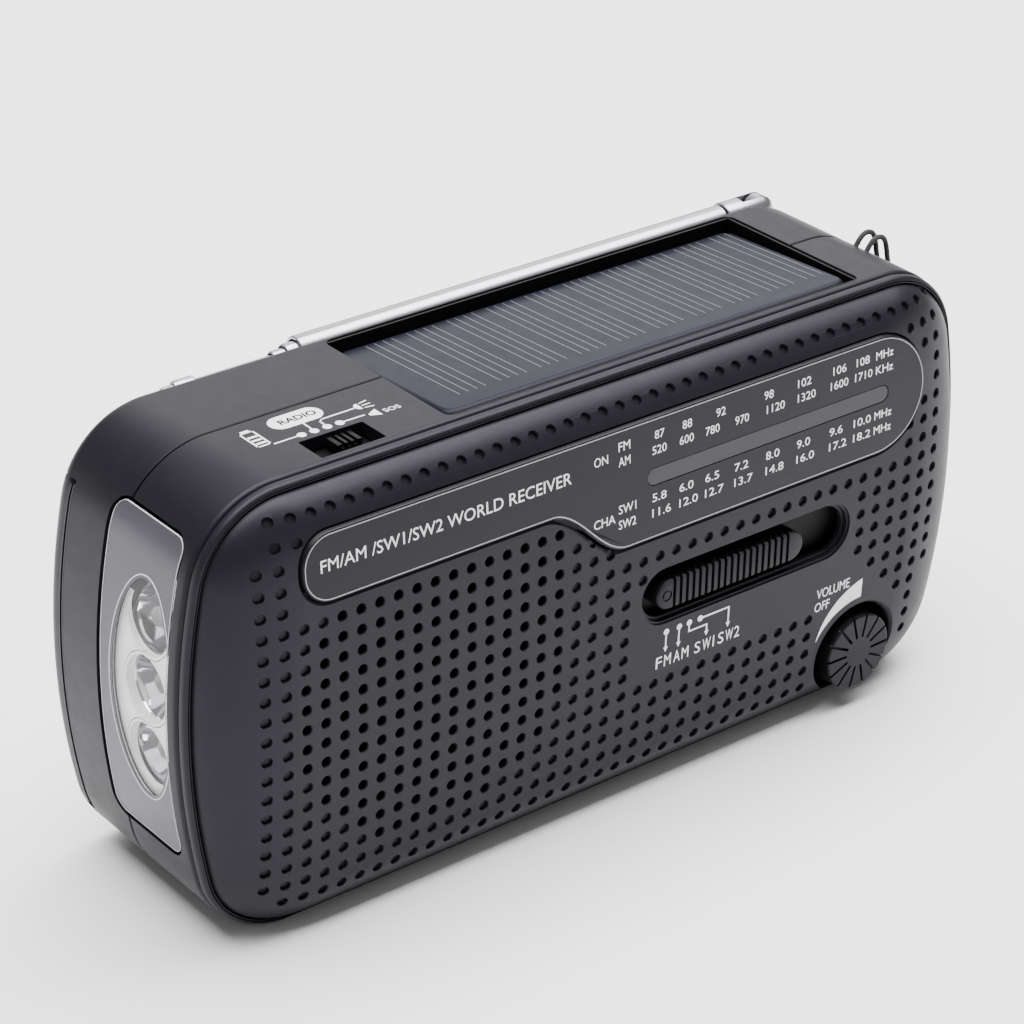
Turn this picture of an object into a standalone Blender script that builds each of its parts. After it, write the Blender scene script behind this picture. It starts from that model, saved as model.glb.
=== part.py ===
"""Emergency radio with crank, solar cell, torch and telescopic antenna, as separate parts.

Lengths in this file are in millimetres and MM turns them into metres. X runs along the length, the
front faces -Y and Z is up. The origin is the centre of the underside, where the radio stands.
"""

import math

import bmesh
import bpy
from mathutils import Vector

MM = 0.001
GAP = 0.3
SHARP_ANGLE = math.radians(35)

# Case
CASE_LENGTH = 155.1
CASE_HEIGHT = 75.0
END_RADIUS = 120.5
CORNER_RADIUS = 15.6
WALL = 2.0
FACE_Y = -22.0
COVER_EDGE_Y = -15.3
SHELL_FRONT_Y = -13.8
PARTING_Y = 4.0
REAR_Y = 22.0
REAR_ROUND = 3.0
COVER_INSET = 1.6
BARREL = 0.001284

# Front controls
DIAL_TOP = 68.5
DIAL_STEP = 57.5
DIAL_BOTTOM = 48.0
DIAL_LEFT = -60.3
DIAL_RIGHT = 62.7
DIAL_LEFT_ROUND = 5.0
DIAL_S_CENTRE = -8.1
DIAL_S_HALF = 7.6
WINDOW = (3.6, 54.5, 57.2, 60.0)
SLOT = (3.6, 47.4, 31.9, 41.3)
SLIDER = (6.3, 37.3, 34.0, 39.2)
VOLUME_CENTRE = (52.0, 10.8)
VOLUME_WELL_RADIUS = 8.6
VOLUME_KNOB_RADIUS = 6.7
VOLUME_KNOB_BASE = 7.6

# Top
SOLAR = (-27.8, 55.5, -12.7, 19.3)
SOLAR_DROP = 1.6
SWITCH = (-50.4, -39.0, -12.4, -6.4)
SWITCH_KNOB_X = -43.6

# Left end
LENS = (-11.1, 7.3, 15.1, 68.2)
LAMP_Y = -3.9
LAMP_HEIGHTS = (52.6, 41.5, 30.1)

# Rear
DOOR = (-36.0, 17.9, 9.3, 65.3)
DISH_CENTRE = (10.0, 36.5)
DISH_RADIUS = 31.5
DISH_FLOOR_Y = 12.0
CRANK_REACH = 27.2
KNOB_AXIS_Y = 18.7
PORT = (54.0, 71.0, 23.0, 49.0)
SCREW_PLACES = ((-29.0, 8.0), (-29.0, 66.0), (49.0, 8.0), (49.0, 66.0))

# Gears: teeth on the crank gear, the idler's pinion, the idler's gear and the rotor's pinion
GEAR_MODULE = 1.0
CRANK_TEETH = 30
PINION_TEETH = 10
IDLER_TEETH = 24
MESH_PLAY = 0.3
ROTOR_ANGLE = math.radians(-60)

# Tuning
WHEEL_CENTRE = (60.5, 40.0)
WHEEL_RADIUS = 19.0
WHEEL_Y = (5.0, 9.4)
POINTER_X = 1.6

# Antenna: outer and inner radius of each tube, and where its free end stands
ANTENNA_Y = 25.2
ANTENNA_Z = 71.2
ANTENNA_PIVOT_X = 67.4
BRACKET_TOP = 65.6
TUBES = (("antenna_tube_1", 2.6, 2.15, -29.0), ("antenna_tube_2", 1.85, 1.6, -31.2),
         ("antenna_tube_3", 1.3, 1.05, -33.5))
TUBE_START = 59.3
ROD_RADIUS = 0.75
TIP_X = (-53.6, -51.6, -47.7)
TIP_RADIUS = 1.4

# Wrist strap, one loop of cord whose two ends go into the case
CORD_RADIUS = 0.45
STRAND_Y = (2.0, -0.6)


def clear_scene():
    for obj in list(bpy.data.objects):
        bpy.data.objects.remove(obj, do_unlink=True)


def finish(name, colour, roughness, metallic=0.0):
    material = bpy.data.materials.new(name)
    material.use_nodes = True
    shader = material.node_tree.nodes["Principled BSDF"]
    shader.inputs["Base Color"].default_value = (*colour, 1.0)
    shader.inputs["Roughness"].default_value = roughness
    shader.inputs["Metallic"].default_value = metallic
    return material


def add_object(name, bm, material, origin=(0.0, 0.0, 0.0)):
    """Makes an object of a shape drawn in world millimetres, with its origin at the given point."""
    bmesh.ops.recalc_face_normals(bm, faces=bm.faces)
    start = Vector(origin)
    for vert in bm.verts:
        vert.co = (vert.co - start) * MM
    mesh = bpy.data.meshes.new(name)
    bm.to_mesh(mesh)
    bm.free()
    mesh.materials.append(material)
    mesh.shade_smooth()
    mesh.set_sharp_from_angle(angle=SHARP_ANGLE)
    obj = bpy.data.objects.new(name, mesh)
    obj.location = start * MM
    bpy.context.scene.collection.objects.link(obj)
    return obj


def combine(obj, name, bm, operation="DIFFERENCE"):
    """Adds a Boolean whose other shape is a hidden helper."""
    helper = add_object(name, bm, obj.data.materials[0])
    use_helper(obj, helper, operation)
    return helper


def use_helper(obj, helper, operation="DIFFERENCE"):
    helper.hide_render = True
    helper.display_type = "WIRE"
    modifier = obj.modifiers.new(helper.name, "BOOLEAN")
    modifier.operation = operation
    modifier.object = helper


def loft(rings, closed=False):
    """Skins rings of equally many points. Its ends are capped, or joined to each other if closed."""
    bm = bmesh.new()
    rows = [[bm.verts.new(point) for point in ring] for ring in rings]
    pairs = list(zip(rows, rows[1:]))
    if closed:
        pairs.append((rows[-1], rows[0]))
    for lower, upper in pairs:
        for i in range(len(lower)):
            j = (i + 1) % len(lower)
            bm.faces.new((lower[i], lower[j], upper[j], upper[i]))
    if not closed:
        bm.faces.new(rows[0])
        bm.faces.new(rows[-1])
    return bm


def place(axis, along, first, second):
    """A point from its coordinate along an axis and its two others, in X, Y, Z order."""
    if axis == "X":
        return (along, first, second)
    if axis == "Y":
        return (first, along, second)
    return (first, second, along)


def prism(points, low, high, axis="Y"):
    return loft([[place(axis, along, *point) for point in points] for along in (low, high)])


def box(low, high, bevel=0.0):
    x0, y0, z0 = low
    x1, y1, z1 = high
    bm = prism([(x0, z0), (x1, z0), (x1, z1), (x0, z1)], y0, y1)
    if bevel:
        bmesh.ops.bevel(bm, geom=bm.edges[:], offset=bevel, segments=2, profile=0.5, affect="EDGES")
    return bm


def circle(radius, sides, centre=(0.0, 0.0), start=0.0):
    angles = [start + 2 * math.pi * i / sides for i in range(sides)]
    return [(centre[0] + radius * math.cos(a), centre[1] + radius * math.sin(a)) for a in angles]


def turned(profile, centre, axis="Y", sides=24, closed=False):
    """Turns (radius, along) points round an axis through the centre."""
    rings = []
    for radius, along in profile:
        rings.append([place(axis, along, *point) for point in circle(radius, sides, centre)])
    return loft(rings, closed)


def rod(radius, centre, low, high, axis="Y", sides=24):
    return turned([(radius, low), (radius, high)], centre, axis, sides)


def arc(centre, radius, start, end, steps):
    points = []
    for i in range(steps + 1):
        angle = math.radians(start + (end - start) * i / steps)
        points.append((centre[0] + radius * math.cos(angle), centre[1] + radius * math.sin(angle)))
    return points


def rounded_rectangle(x0, x1, z0, z1, radius, steps=4):
    points = arc((x1 - radius, z0 + radius), radius, -90, 0, steps)
    points += arc((x1 - radius, z1 - radius), radius, 0, 90, steps)
    points += arc((x0 + radius, z1 - radius), radius, 90, 180, steps)
    points += arc((x0 + radius, z0 + radius), radius, 180, 270, steps)
    return points


def stadium(limits, grow=0.0, steps=8):
    x0, x1, z0, z1 = limits
    radius = (z1 - z0) / 2 + grow
    points = arc((x1 + grow - radius, (z0 + z1) / 2), radius, -90, 90, steps)
    return points + arc((x0 - grow + radius, (z0 + z1) / 2), radius, 90, 270, steps)


def case_outline(half_length, half_height, end_radius, corner_radius, end_steps=6, corner_steps=6):
    """Outline with straight top and bottom, bowed ends and round corners, about mid-height."""
    corner_z = half_height - corner_radius
    end_x = half_length - end_radius
    corner_x = end_x + math.sqrt((end_radius - corner_radius) ** 2 - corner_z ** 2)
    turn = math.degrees(math.atan2(corner_z, corner_x - end_x))
    right = arc((end_x, 0), end_radius, -turn, turn, end_steps)
    right += arc((corner_x, corner_z), corner_radius, turn, 90, corner_steps)[1:]
    lower = [(x, -z) for x, z in reversed(right[end_steps + 1:])]
    right = lower + right
    left = [(-x, z) for x, z in reversed(right)]
    return [(x, z + CASE_HEIGHT / 2) for x, z in right + left]


def inset_outline(inset):
    return case_outline(CASE_LENGTH / 2 - inset, CASE_HEIGHT / 2 - inset, END_RADIUS - inset,
                        CORNER_RADIUS - inset)


def case_rings(steps):
    """Rings of the case outline for (inset, y) steps."""
    return [[(x, y, z) for x, z in inset_outline(inset)] for inset, y in steps]


def barrel(z):
    """How far the front face falls back at a height."""
    return BARREL * (z - CASE_HEIGHT / 2) ** 2


def cover_ring(side_step, height_step, edge, thickness):
    """One ring of the pillow-edged cover; edge runs from 1 at its rim to 0 on the face."""
    half_length = CASE_LENGTH / 2 - COVER_INSET - side_step
    half_height = CASE_HEIGHT / 2 - COVER_INSET - height_step
    corner = min(CORNER_RADIUS - COVER_INSET, half_height * 0.9) * (0.6 + 0.4 * edge)
    outline = case_outline(half_length, half_height, END_RADIUS, corner)
    roll = (1 - math.sqrt(1 - 0.8 * edge ** 2)) / (1 - math.sqrt(0.2))
    points = []
    for x, z in outline:
        fall = barrel(z)
        y = FACE_Y + fall + (COVER_EDGE_Y - FACE_Y - fall) * roll + thickness
        points.append((x, y, z))
    return points


def face_slab(front, back):
    """A slab along X between two copies of the curved front face."""
    heights = [DIAL_BOTTOM - 3 + 2 * i for i in range(13)]
    points = [(FACE_Y + barrel(z) + front, z) for z in heights]
    points += [(FACE_Y + barrel(z) + back, z) for z in reversed(heights)]
    return prism(points, -70, 70, "X")


def dial_outline(grow=0.0):
    """Dial panel with a shallow left part, an S-shaped step and a deep round right part."""
    radius = (DIAL_TOP - DIAL_BOTTOM) / 2
    points = arc((DIAL_RIGHT - radius, DIAL_BOTTOM + radius), radius + grow, -90, 90, 12)
    left_round = DIAL_LEFT_ROUND
    points += arc((DIAL_LEFT + left_round, DIAL_TOP - left_round), left_round + grow, 90, 180, 5)
    points += arc((DIAL_LEFT + left_round, DIAL_STEP + left_round), left_round + grow, 180, 270, 5)
    rise = (DIAL_STEP - DIAL_BOTTOM) / 2
    for i in range(11):
        turn = math.pi * i / 10
        x = DIAL_S_CENTRE - grow + DIAL_S_HALF * (2 * i / 10 - 1)
        points.append((x, DIAL_BOTTOM + rise + rise * math.cos(turn) - grow))
    return points


def gear_outline(teeth, phase=0.0):
    """Straight-sided teeth; the first is centred on the phase angle."""
    pitch_radius = GEAR_MODULE * teeth / 2
    corners = ((-0.30, -1.2), (-0.13, 0.85), (0.13, 0.85), (0.30, -1.2))
    points = []
    for i in range(teeth):
        for along, height in corners:
            angle = phase + 2 * math.pi * (i + along) / teeth
            radius = pitch_radius + GEAR_MODULE * height
            points.append((radius * math.cos(angle), radius * math.sin(angle)))
    return points


def moved(points, centre):
    return [(x + centre[0], z + centre[1]) for x, z in points]


def make_front_cover(plastic):
    """A pillow-edged shell: rings run over the face to the rim, and back along the inside."""
    rolled = [(15.5, 7, 0), (8.5, 4.2, 0.42), (5.0, 2.5, 0.66), (2.2, 1.2, 0.84), (0.5, 0.3, 0.95), (0, 0, 1)]
    flat = [(15.5 + more, 7 + more, 0) for more in (27.5, 18, 9)]
    rings = [cover_ring(*step, 0) for step in flat + rolled]
    rim_y = COVER_EDGE_Y + 0.7
    rings += [[(x, rim_y, z) for x, z in inset_outline(COVER_INSET + inset)] for inset in (0, WALL)]
    rings += [cover_ring(*step, WALL) for step in reversed(flat + rolled[:3])]
    cover = add_object("front_cover", loft(rings), plastic)
    combine(cover, "cut_dial", prism(dial_outline(GAP), -30, -10))
    combine(cover, "cut_slot", prism(stadium(SLOT), -30, -10))
    combine(cover, "cut_well", rod(VOLUME_WELL_RADIUS, VOLUME_CENTRE, -30, -10, sides=32))


def make_trim_ring(plastic):
    steps = [(0.35, -14.9), (0.6, -15.5), (1.1, -15.6), (1.3, -15.2), (1.3, -14.1), (0.35, -14.1)]
    add_object("trim_ring", loft(case_rings(steps), closed=True), plastic)


def solar_opening():
    x0, x1, y0, y1 = SOLAR
    return box((x0, y0, 68), (x1, y1, 80))


def lens_prism(grow, low, high):
    y0, y1, z0, z1 = LENS
    return prism(rounded_rectangle(y0 - grow, y1 + grow, z0 - grow, z1 + grow, 3 + grow), low, high, "X")


def make_front_shell(plastic):
    lip = 4.5
    back = PARTING_Y - GAP / 2
    steps = [(0.5, SHELL_FRONT_Y), (0, SHELL_FRONT_Y + 0.6), (0, back), (WALL, back), (WALL, -12.3),
             (lip, -12.3), (lip, SHELL_FRONT_Y)]
    shell = add_object("front_shell", loft(case_rings(steps), closed=True), plastic)
    combine(shell, "cut_solar_front", solar_opening())
    combine(shell, "cut_lens_front", lens_prism(GAP, -90, -60))
    x0, x1, y0, y1 = SWITCH
    combine(shell, "cut_switch", box((x0, y0, 70), (x1, y1, 80)))
    for index, y in enumerate(STRAND_Y):
        centre = strap_point(36, 0)
        hole = rod(CORD_RADIUS + GAP, (0, 0), -4, 4, "Z", 12)
        tilt(hole, math.radians(36), (centre[0], y, centre[1]))
        combine(shell, f"cut_strap_{index + 1}", hole)


def tilt(bm, angle, centre):
    """Leans a shape about Y and then moves it."""
    for vert in bm.verts:
        x, y, z = vert.co
        vert.co = (x * math.cos(angle) + z * math.sin(angle) + centre[0], y + centre[1],
                   z * math.cos(angle) - x * math.sin(angle) + centre[2])


def rear_cup():
    steps = [(WALL, REAR_Y - WALL), (WALL, PARTING_Y + GAP / 2), (0, PARTING_Y + GAP / 2),
             (0, REAR_Y - REAR_ROUND)]
    for turn in (30, 60, 90):
        angle = math.radians(turn)
        steps.append((REAR_ROUND * (1 - math.cos(angle)), REAR_Y - REAR_ROUND * (1 - math.sin(angle))))
    return loft(case_rings(steps))


def make_rear_shell(plastic):
    shell = add_object("rear_shell", rear_cup(), plastic)
    dish = rod(DISH_RADIUS + 1.5, DISH_CENTRE, DISH_FLOOR_Y - WALL, REAR_Y - 1, sides=48)
    combine(shell, "add_dish", dish, "UNION")
    combine(shell, "cut_dish", rod(DISH_RADIUS, DISH_CENTRE, DISH_FLOOR_Y, 30, sides=48))
    combine(shell, "cut_shaft", rod(2.4, DISH_CENTRE, 5, 15))
    combine(shell, "cut_solar_rear", solar_opening())
    combine(shell, "cut_lens_rear", lens_prism(GAP, -90, -60))
    x1, y0, z0, z1 = DOOR
    combine(shell, "cut_door", box((-90, y0 - GAP, z0 - GAP), (x1 + GAP, 30, z1 + GAP)))
    combine(shell, "cut_wheel", box((70, WHEEL_Y[0] - 0.6, 25.5), (90, WHEEL_Y[1] + 0.6, 54.5)))
    x0, x1, z0, z1 = PORT
    combine(shell, "cut_port", box((x0, REAR_Y - 1.2, z0), (x1, 30, z1)))
    combine(shell, "cut_charge", box((57.6, 15, 29.4), (67.4, 25, 34.6)))
    combine(shell, "cut_earphone", rod(3.9, (62.5, 41.5), 15, 25))
    for index, place_at in enumerate(SCREW_PLACES):
        profile = [(1.7, 15), (1.7, 20.7), (3.1, 20.7), (3.1, 25)]
        combine(shell, f"cut_screw_{index + 1}", turned(profile, place_at))


def make_case_details(plastic, steel):
    for index, place_at in enumerate(SCREW_PLACES):
        profile = [(1.3, 9), (1.3, 21), (2.7, 21), (2.7, 21.5), (1.6, 21.9), (0.8, 21.9), (0.7, 21.4)]
        add_object(f"case_screw_{index + 1}", turned(profile, place_at, sides=16), steel)
    x1, y0, z0, z1 = DOOR
    door = add_object("battery_door", rear_cup(), plastic)
    combine(door, "keep_door", box((-90, y0, z0), (x1, 30, z1)), "INTERSECT")
    add_object("battery_pack", box((-72, 7, 14.5), (-40.5, 17, 62), 3.0), finish("battery_wrap", (0.05, 0.16, 0.3), 0.4))


def make_dial(gloss, frosted, bright):
    panel = add_object("dial_panel", face_slab(-0.4, 1.2), gloss)
    combine(panel, "keep_dial", prism(dial_outline(), -30, -10), "INTERSECT")
    combine(panel, "cut_window", prism(stadium(WINDOW, GAP), -30, -10))
    window = add_object("dial_window", face_slab(-0.3, 0.9), frosted)
    combine(window, "keep_window", prism(stadium(WINDOW), -30, -10), "INTERSECT")
    pointer = box((POINTER_X - 0.6, -19.4, 49.2), (POINTER_X + 0.6, -18.4, 63))
    pointer_object = add_object("dial_pointer", pointer, bright, (POINTER_X, -18.9, 56))
    slider = box((POINTER_X - 4, -18.8, 48.0), (POINTER_X + 4, -15.6, 51.6))
    combine(pointer_object, "add_carriage", slider, "UNION")
    bore = rod(1.1, (-17.2, 49.8), POINTER_X - 9, POINTER_X + 9, "X", 16)
    combine(pointer_object, "cut_carriage", bore)


def make_tuning(plastic, metal, brown):
    add_object("pointer_rail", rod(0.8, (-17.2, 49.8), -4, 60, "X", 16), metal)
    grip = []
    for i in range(96):
        angle = 2 * math.pi * i / 96
        radius = WHEEL_RADIUS - 0.5 * (i // 2 % 2)
        grip.append((radius * math.cos(angle), radius * math.sin(angle)))
    x, z = WHEEL_CENTRE
    wheel = add_object("tuning_wheel", prism(moved(grip, WHEEL_CENTRE), *WHEEL_Y), plastic, (x, 7, z))
    combine(wheel, "add_wheel_hub", rod(3, WHEEL_CENTRE, 3.9, 7), "UNION")
    add_object("tuning_capacitor", box((x - 10, -7.5, z - 10), (x + 10, 3.5, z + 10), 1.0), brown)


def make_band_slider(plastic, dark):
    x0, x1, z0, z1 = SLIDER
    add_object("band_slider_cap", prism(stadium(SLIDER), -22.2, -19.2), plastic, (x0, -20.7, (z0 + z1) / 2))
    body = add_object("band_switch_body", box((0.5, -18.6, 29.4), (50.5, -17.4, 43.4)), dark)
    combine(body, "add_switch_block", box((10, -17.6, 31.5), (40, -8, 41.5)), "UNION")


def make_volume(plastic, steel):
    radius = VOLUME_KNOB_RADIUS
    profile = [(VOLUME_KNOB_BASE, -15.8), (radius, -21.8), (radius - 0.5, -22.2), (2.6, -22.2)]
    knob = add_object("volume_knob", turned(profile, VOLUME_CENTRE, sides=42),
                      plastic, (VOLUME_CENTRE[0], -19, VOLUME_CENTRE[1]))
    combine(knob, "cut_knob_bore", rod(2.0, VOLUME_CENTRE, -20.5, -10))
    for i in range(14):
        angle = 2 * math.pi * (i + 0.5) / 14
        ray = box((3.2, -30, -0.25), (9, -21.7, 0.25))
        turn_about_y(ray, angle, VOLUME_CENTRE)
        combine(knob, f"cut_ray_{i + 1}", ray)
    pot = [(8.2, -15.3), (8.2, -14.4), (6.0, -14.4), (6.0, -7)]
    add_object("volume_control", turned(pot, VOLUME_CENTRE), steel)
    profile = [(1.6, -20.1), (1.6, -15.7)]
    add_object("volume_shaft", turned(profile, VOLUME_CENTRE, sides=16), steel, (VOLUME_CENTRE[0], -18, VOLUME_CENTRE[1]))


def turn_about_y(bm, angle, centre):
    """Turns a shape drawn about the origin round Y, then moves it to a place on the face."""
    for vert in bm.verts:
        x, y, z = vert.co
        vert.co = (x * math.cos(angle) - z * math.sin(angle) + centre[0], y,
                   z * math.cos(angle) + x * math.sin(angle) + centre[1])


def make_function_switch(plastic, dark):
    x = SWITCH_KNOB_X
    y0, y1 = SWITCH[2] + GAP, SWITCH[3] - GAP
    knob = add_object("function_switch_knob", box((x - 2.2, y0, 73), (x + 2.2, y1, 74.5)), plastic, (x, -9.4, 74))
    for offset in (-1.1, 0, 1.1):
        rib = box((x + offset - 0.25, y0 - 1, 74.1), (x + offset + 0.25, y1 + 1, 76))
        combine(knob, f"cut_rib_{int(10 * offset) + 20}", rib)
    add_object("function_switch_body", box((-51.5, -11.9, 68.6), (-37.5, -5.5, 72.6), 0.5), dark)


def make_solar(black, cell):
    x0, x1, y0, y1 = SOLAR
    x0, x1, y0, y1 = x0 + GAP, x1 - GAP, y0 + GAP, y1 - GAP
    tray = add_object("solar_tray", box((x0, y0, 70.4), (x1, y1, 74.8)), black)
    wall = 0.8
    combine(tray, "cut_tray", box((x0 + wall, y0 + wall, 71.4), (x1 - wall, y1 - wall, 80)))
    gap = wall + GAP
    front_top = 74.9
    rear_top = front_top - SOLAR_DROP
    points = [(y0 + gap, front_top - 1.4), (y1 - gap, rear_top - 1.4), (y1 - gap, rear_top), (y0 + gap, front_top)]
    add_object("solar_panel", prism(points, x0 + gap, x1 - gap, "X"), cell)


def make_torch(clear, chrome, glass, green):
    lens = add_object("torch_lens", loft(case_rings([(0.2, -12), (0.2, 9), (1.7, 9), (1.7, -12)]), closed=True), clear)
    combine(lens, "keep_lens", lens_prism(0, -90, -60), "INTERSECT")
    outline = [(x, z) for x, z in inset_outline(2.3)]
    reflector = add_object("torch_reflector", prism(outline, -10.6, 6.8), chrome)
    combine(reflector, "keep_reflector", box((-90, -20, 19), (-67.6, 20, 63.5)), "INTERSECT")
    for index, z in enumerate(LAMP_HEIGHTS):
        bowl = turned([(5.2, -80), (5.2, -75.0), (2.9, -68.6), (2.9, -60)], (LAMP_Y, z), "X")
        combine(reflector, f"cut_bowl_{index + 1}", bowl)
        led = [(2.4, -67.1), (2.4, -70.5), (2.0, -71.9), (1.0, -72.7), (0.3, -72.9)]
        add_object(f"torch_led_{index + 1}", turned(led, (LAMP_Y, z), "X", 16), glass)
    add_object("torch_board", box((-66.7, -9.5, 20), (-65.4, 6, 62)), green)


def make_speaker(steel, paper, magnet):
    centre = (-35.8, 39.2)
    frame = [(28.4, -18.6), (28.4, -17.4), (25, -17.2), (13.5, -8), (5, -8), (5, -9.2), (12.6, -9.2), (24, -18.6)]
    add_object("speaker_frame", turned(frame, centre, sides=32, closed=True), steel)
    cone = [(0.4, -13.8), (3.5, -13.2), (6.2, -11.6), (7, -10.9), (20, -17.9), (22.6, -18.3), (22.6, -17.7),
            (20, -17.3), (7.2, -10.2), (5.8, -10.8), (3.3, -12.4), (0.4, -13.1)]
    add_object("speaker_cone", turned(cone, centre, sides=32), paper)
    add_object("speaker_magnet", turned([(11.5, -7.7), (11.5, -2.6)], centre), magnet)


def make_boards(green):
    add_object("main_board", box((-4, -4.8, 8), (46, -3.2, 62)), green)


def make_crank(plastic, grip, steel):
    x, z = DISH_CENTRE
    tip = x + CRANK_REACH
    arm = add_object("crank_arm", prism(stadium((x - 6.5, tip + 3, z - 6.5, z + 6.5)), 12.4, 15.4), plastic, (x, 14, z))
    for index, side in enumerate((-1, 1)):
        low, high = sorted((z + side * 4.3, z + side * 6.1))
        combine(arm, f"add_ear_{index + 1}", box((tip - 2.6, 15, low), (tip + 2.6, 21.4, high)), "UNION")
    combine(arm, "add_hub", rod(5.5, DISH_CENTRE, 12.6, 17), "UNION")
    pin_place = (tip, KNOB_AXIS_Y)
    combine(arm, "cut_pin", rod(1.2, pin_place, z - 10, z + 10, "Z", 16))
    add_object("crank_knob_pin", rod(0.9, pin_place, z - 6.3, z + 6.3, "Z", 16), steel)
    yoke = add_object("crank_knob_yoke", rod(2.6, pin_place, z - 4, z + 4, "Z"), steel, (tip, KNOB_AXIS_Y, z))
    combine(yoke, "add_spindle", rod(1.3, (KNOB_AXIS_Y, z), tip - 20, tip - 1.5, "X", 16), "UNION")
    combine(yoke, "cut_yoke_pin", rod(1.2, pin_place, z - 10, z + 10, "Z", 16))
    profile = [(1.6, tip - 3.2), (2.9, tip - 3.2), (3.05, tip - 4.5), (2.7, tip - 11), (3.05, tip - 17.5),
               (2.6, tip - 19.3), (1.6, tip - 19.3)]
    add_object("crank_knob", turned(profile, (KNOB_AXIS_Y, z), "X", closed=True), grip, (tip - 11, KNOB_AXIS_Y, z))
    add_object("crank_shaft", rod(2.0, DISH_CENTRE, 1.5, 12.1), steel, (x, 7, z))


def make_gears(white, brass, copper):
    pitch = GEAR_MODULE / 2
    idler = (DISH_CENTRE[0] - pitch * (CRANK_TEETH + PINION_TEETH) - MESH_PLAY, DISH_CENTRE[1])
    reach = pitch * (IDLER_TEETH + PINION_TEETH) + MESH_PLAY
    rotor = (idler[0] + reach * math.cos(ROTOR_ANGLE), idler[1] + reach * math.sin(ROTOR_ANGLE))
    gear = add_object("crank_gear", prism(moved(gear_outline(CRANK_TEETH, math.pi), DISH_CENTRE), 6.2, 9.2),
                      white, (DISH_CENTRE[0], 7.7, DISH_CENTRE[1]))
    combine(gear, "cut_crank_gear", rod(2.3, DISH_CENTRE, 0, 15))
    half_tooth = math.pi / PINION_TEETH
    pinion = prism(moved(gear_outline(PINION_TEETH, half_tooth), idler), 5.0, 9.2)
    idler_object = add_object("idler_gear", pinion, white, (idler[0], 6, idler[1]))
    large = prism(moved(gear_outline(IDLER_TEETH, ROTOR_ANGLE), idler), 2.6, 5.6)
    combine(idler_object, "add_idler_gear", large, "UNION")
    combine(idler_object, "cut_idler", rod(1.5, idler, 0, 15, sides=16))
    add_object("idler_axle", rod(1.2, idler, 1.6, 9.7, sides=16), brass)
    teeth = gear_outline(PINION_TEETH, ROTOR_ANGLE + math.pi + half_tooth)
    rotor_object = add_object("dynamo_rotor", prism(moved(teeth, rotor), 1.0, 5.6), brass, (rotor[0], 2, rotor[1]))
    combine(rotor_object, "add_rotor_disc", rod(8, rotor, -1.8, 1.3), "UNION")
    stator = [(8.5, 1.9), (11, 1.9), (11, -2.7), (1, -2.7), (1, -2.2), (8.5, -2.2)]
    add_object("dynamo_stator", turned(stator, rotor, closed=True), copper)


def make_antenna_bracket(plastic):
    """The block on the rear shell that the antenna's foot turns in."""
    low = (ANTENNA_PIVOT_X - 4.8, REAR_Y + GAP, BRACKET_TOP - 9.6)
    high = (ANTENNA_PIVOT_X + 4.8, ANTENNA_Y + 4.7, BRACKET_TOP)
    bracket = add_object("antenna_bracket", box(low, high, 0.8), plastic)
    hole = rod(2.3, (ANTENNA_PIVOT_X, ANTENNA_Y), BRACKET_TOP - 7.6, BRACKET_TOP + 5, "Z")
    combine(bracket, "cut_bracket_hole", hole)


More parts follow.
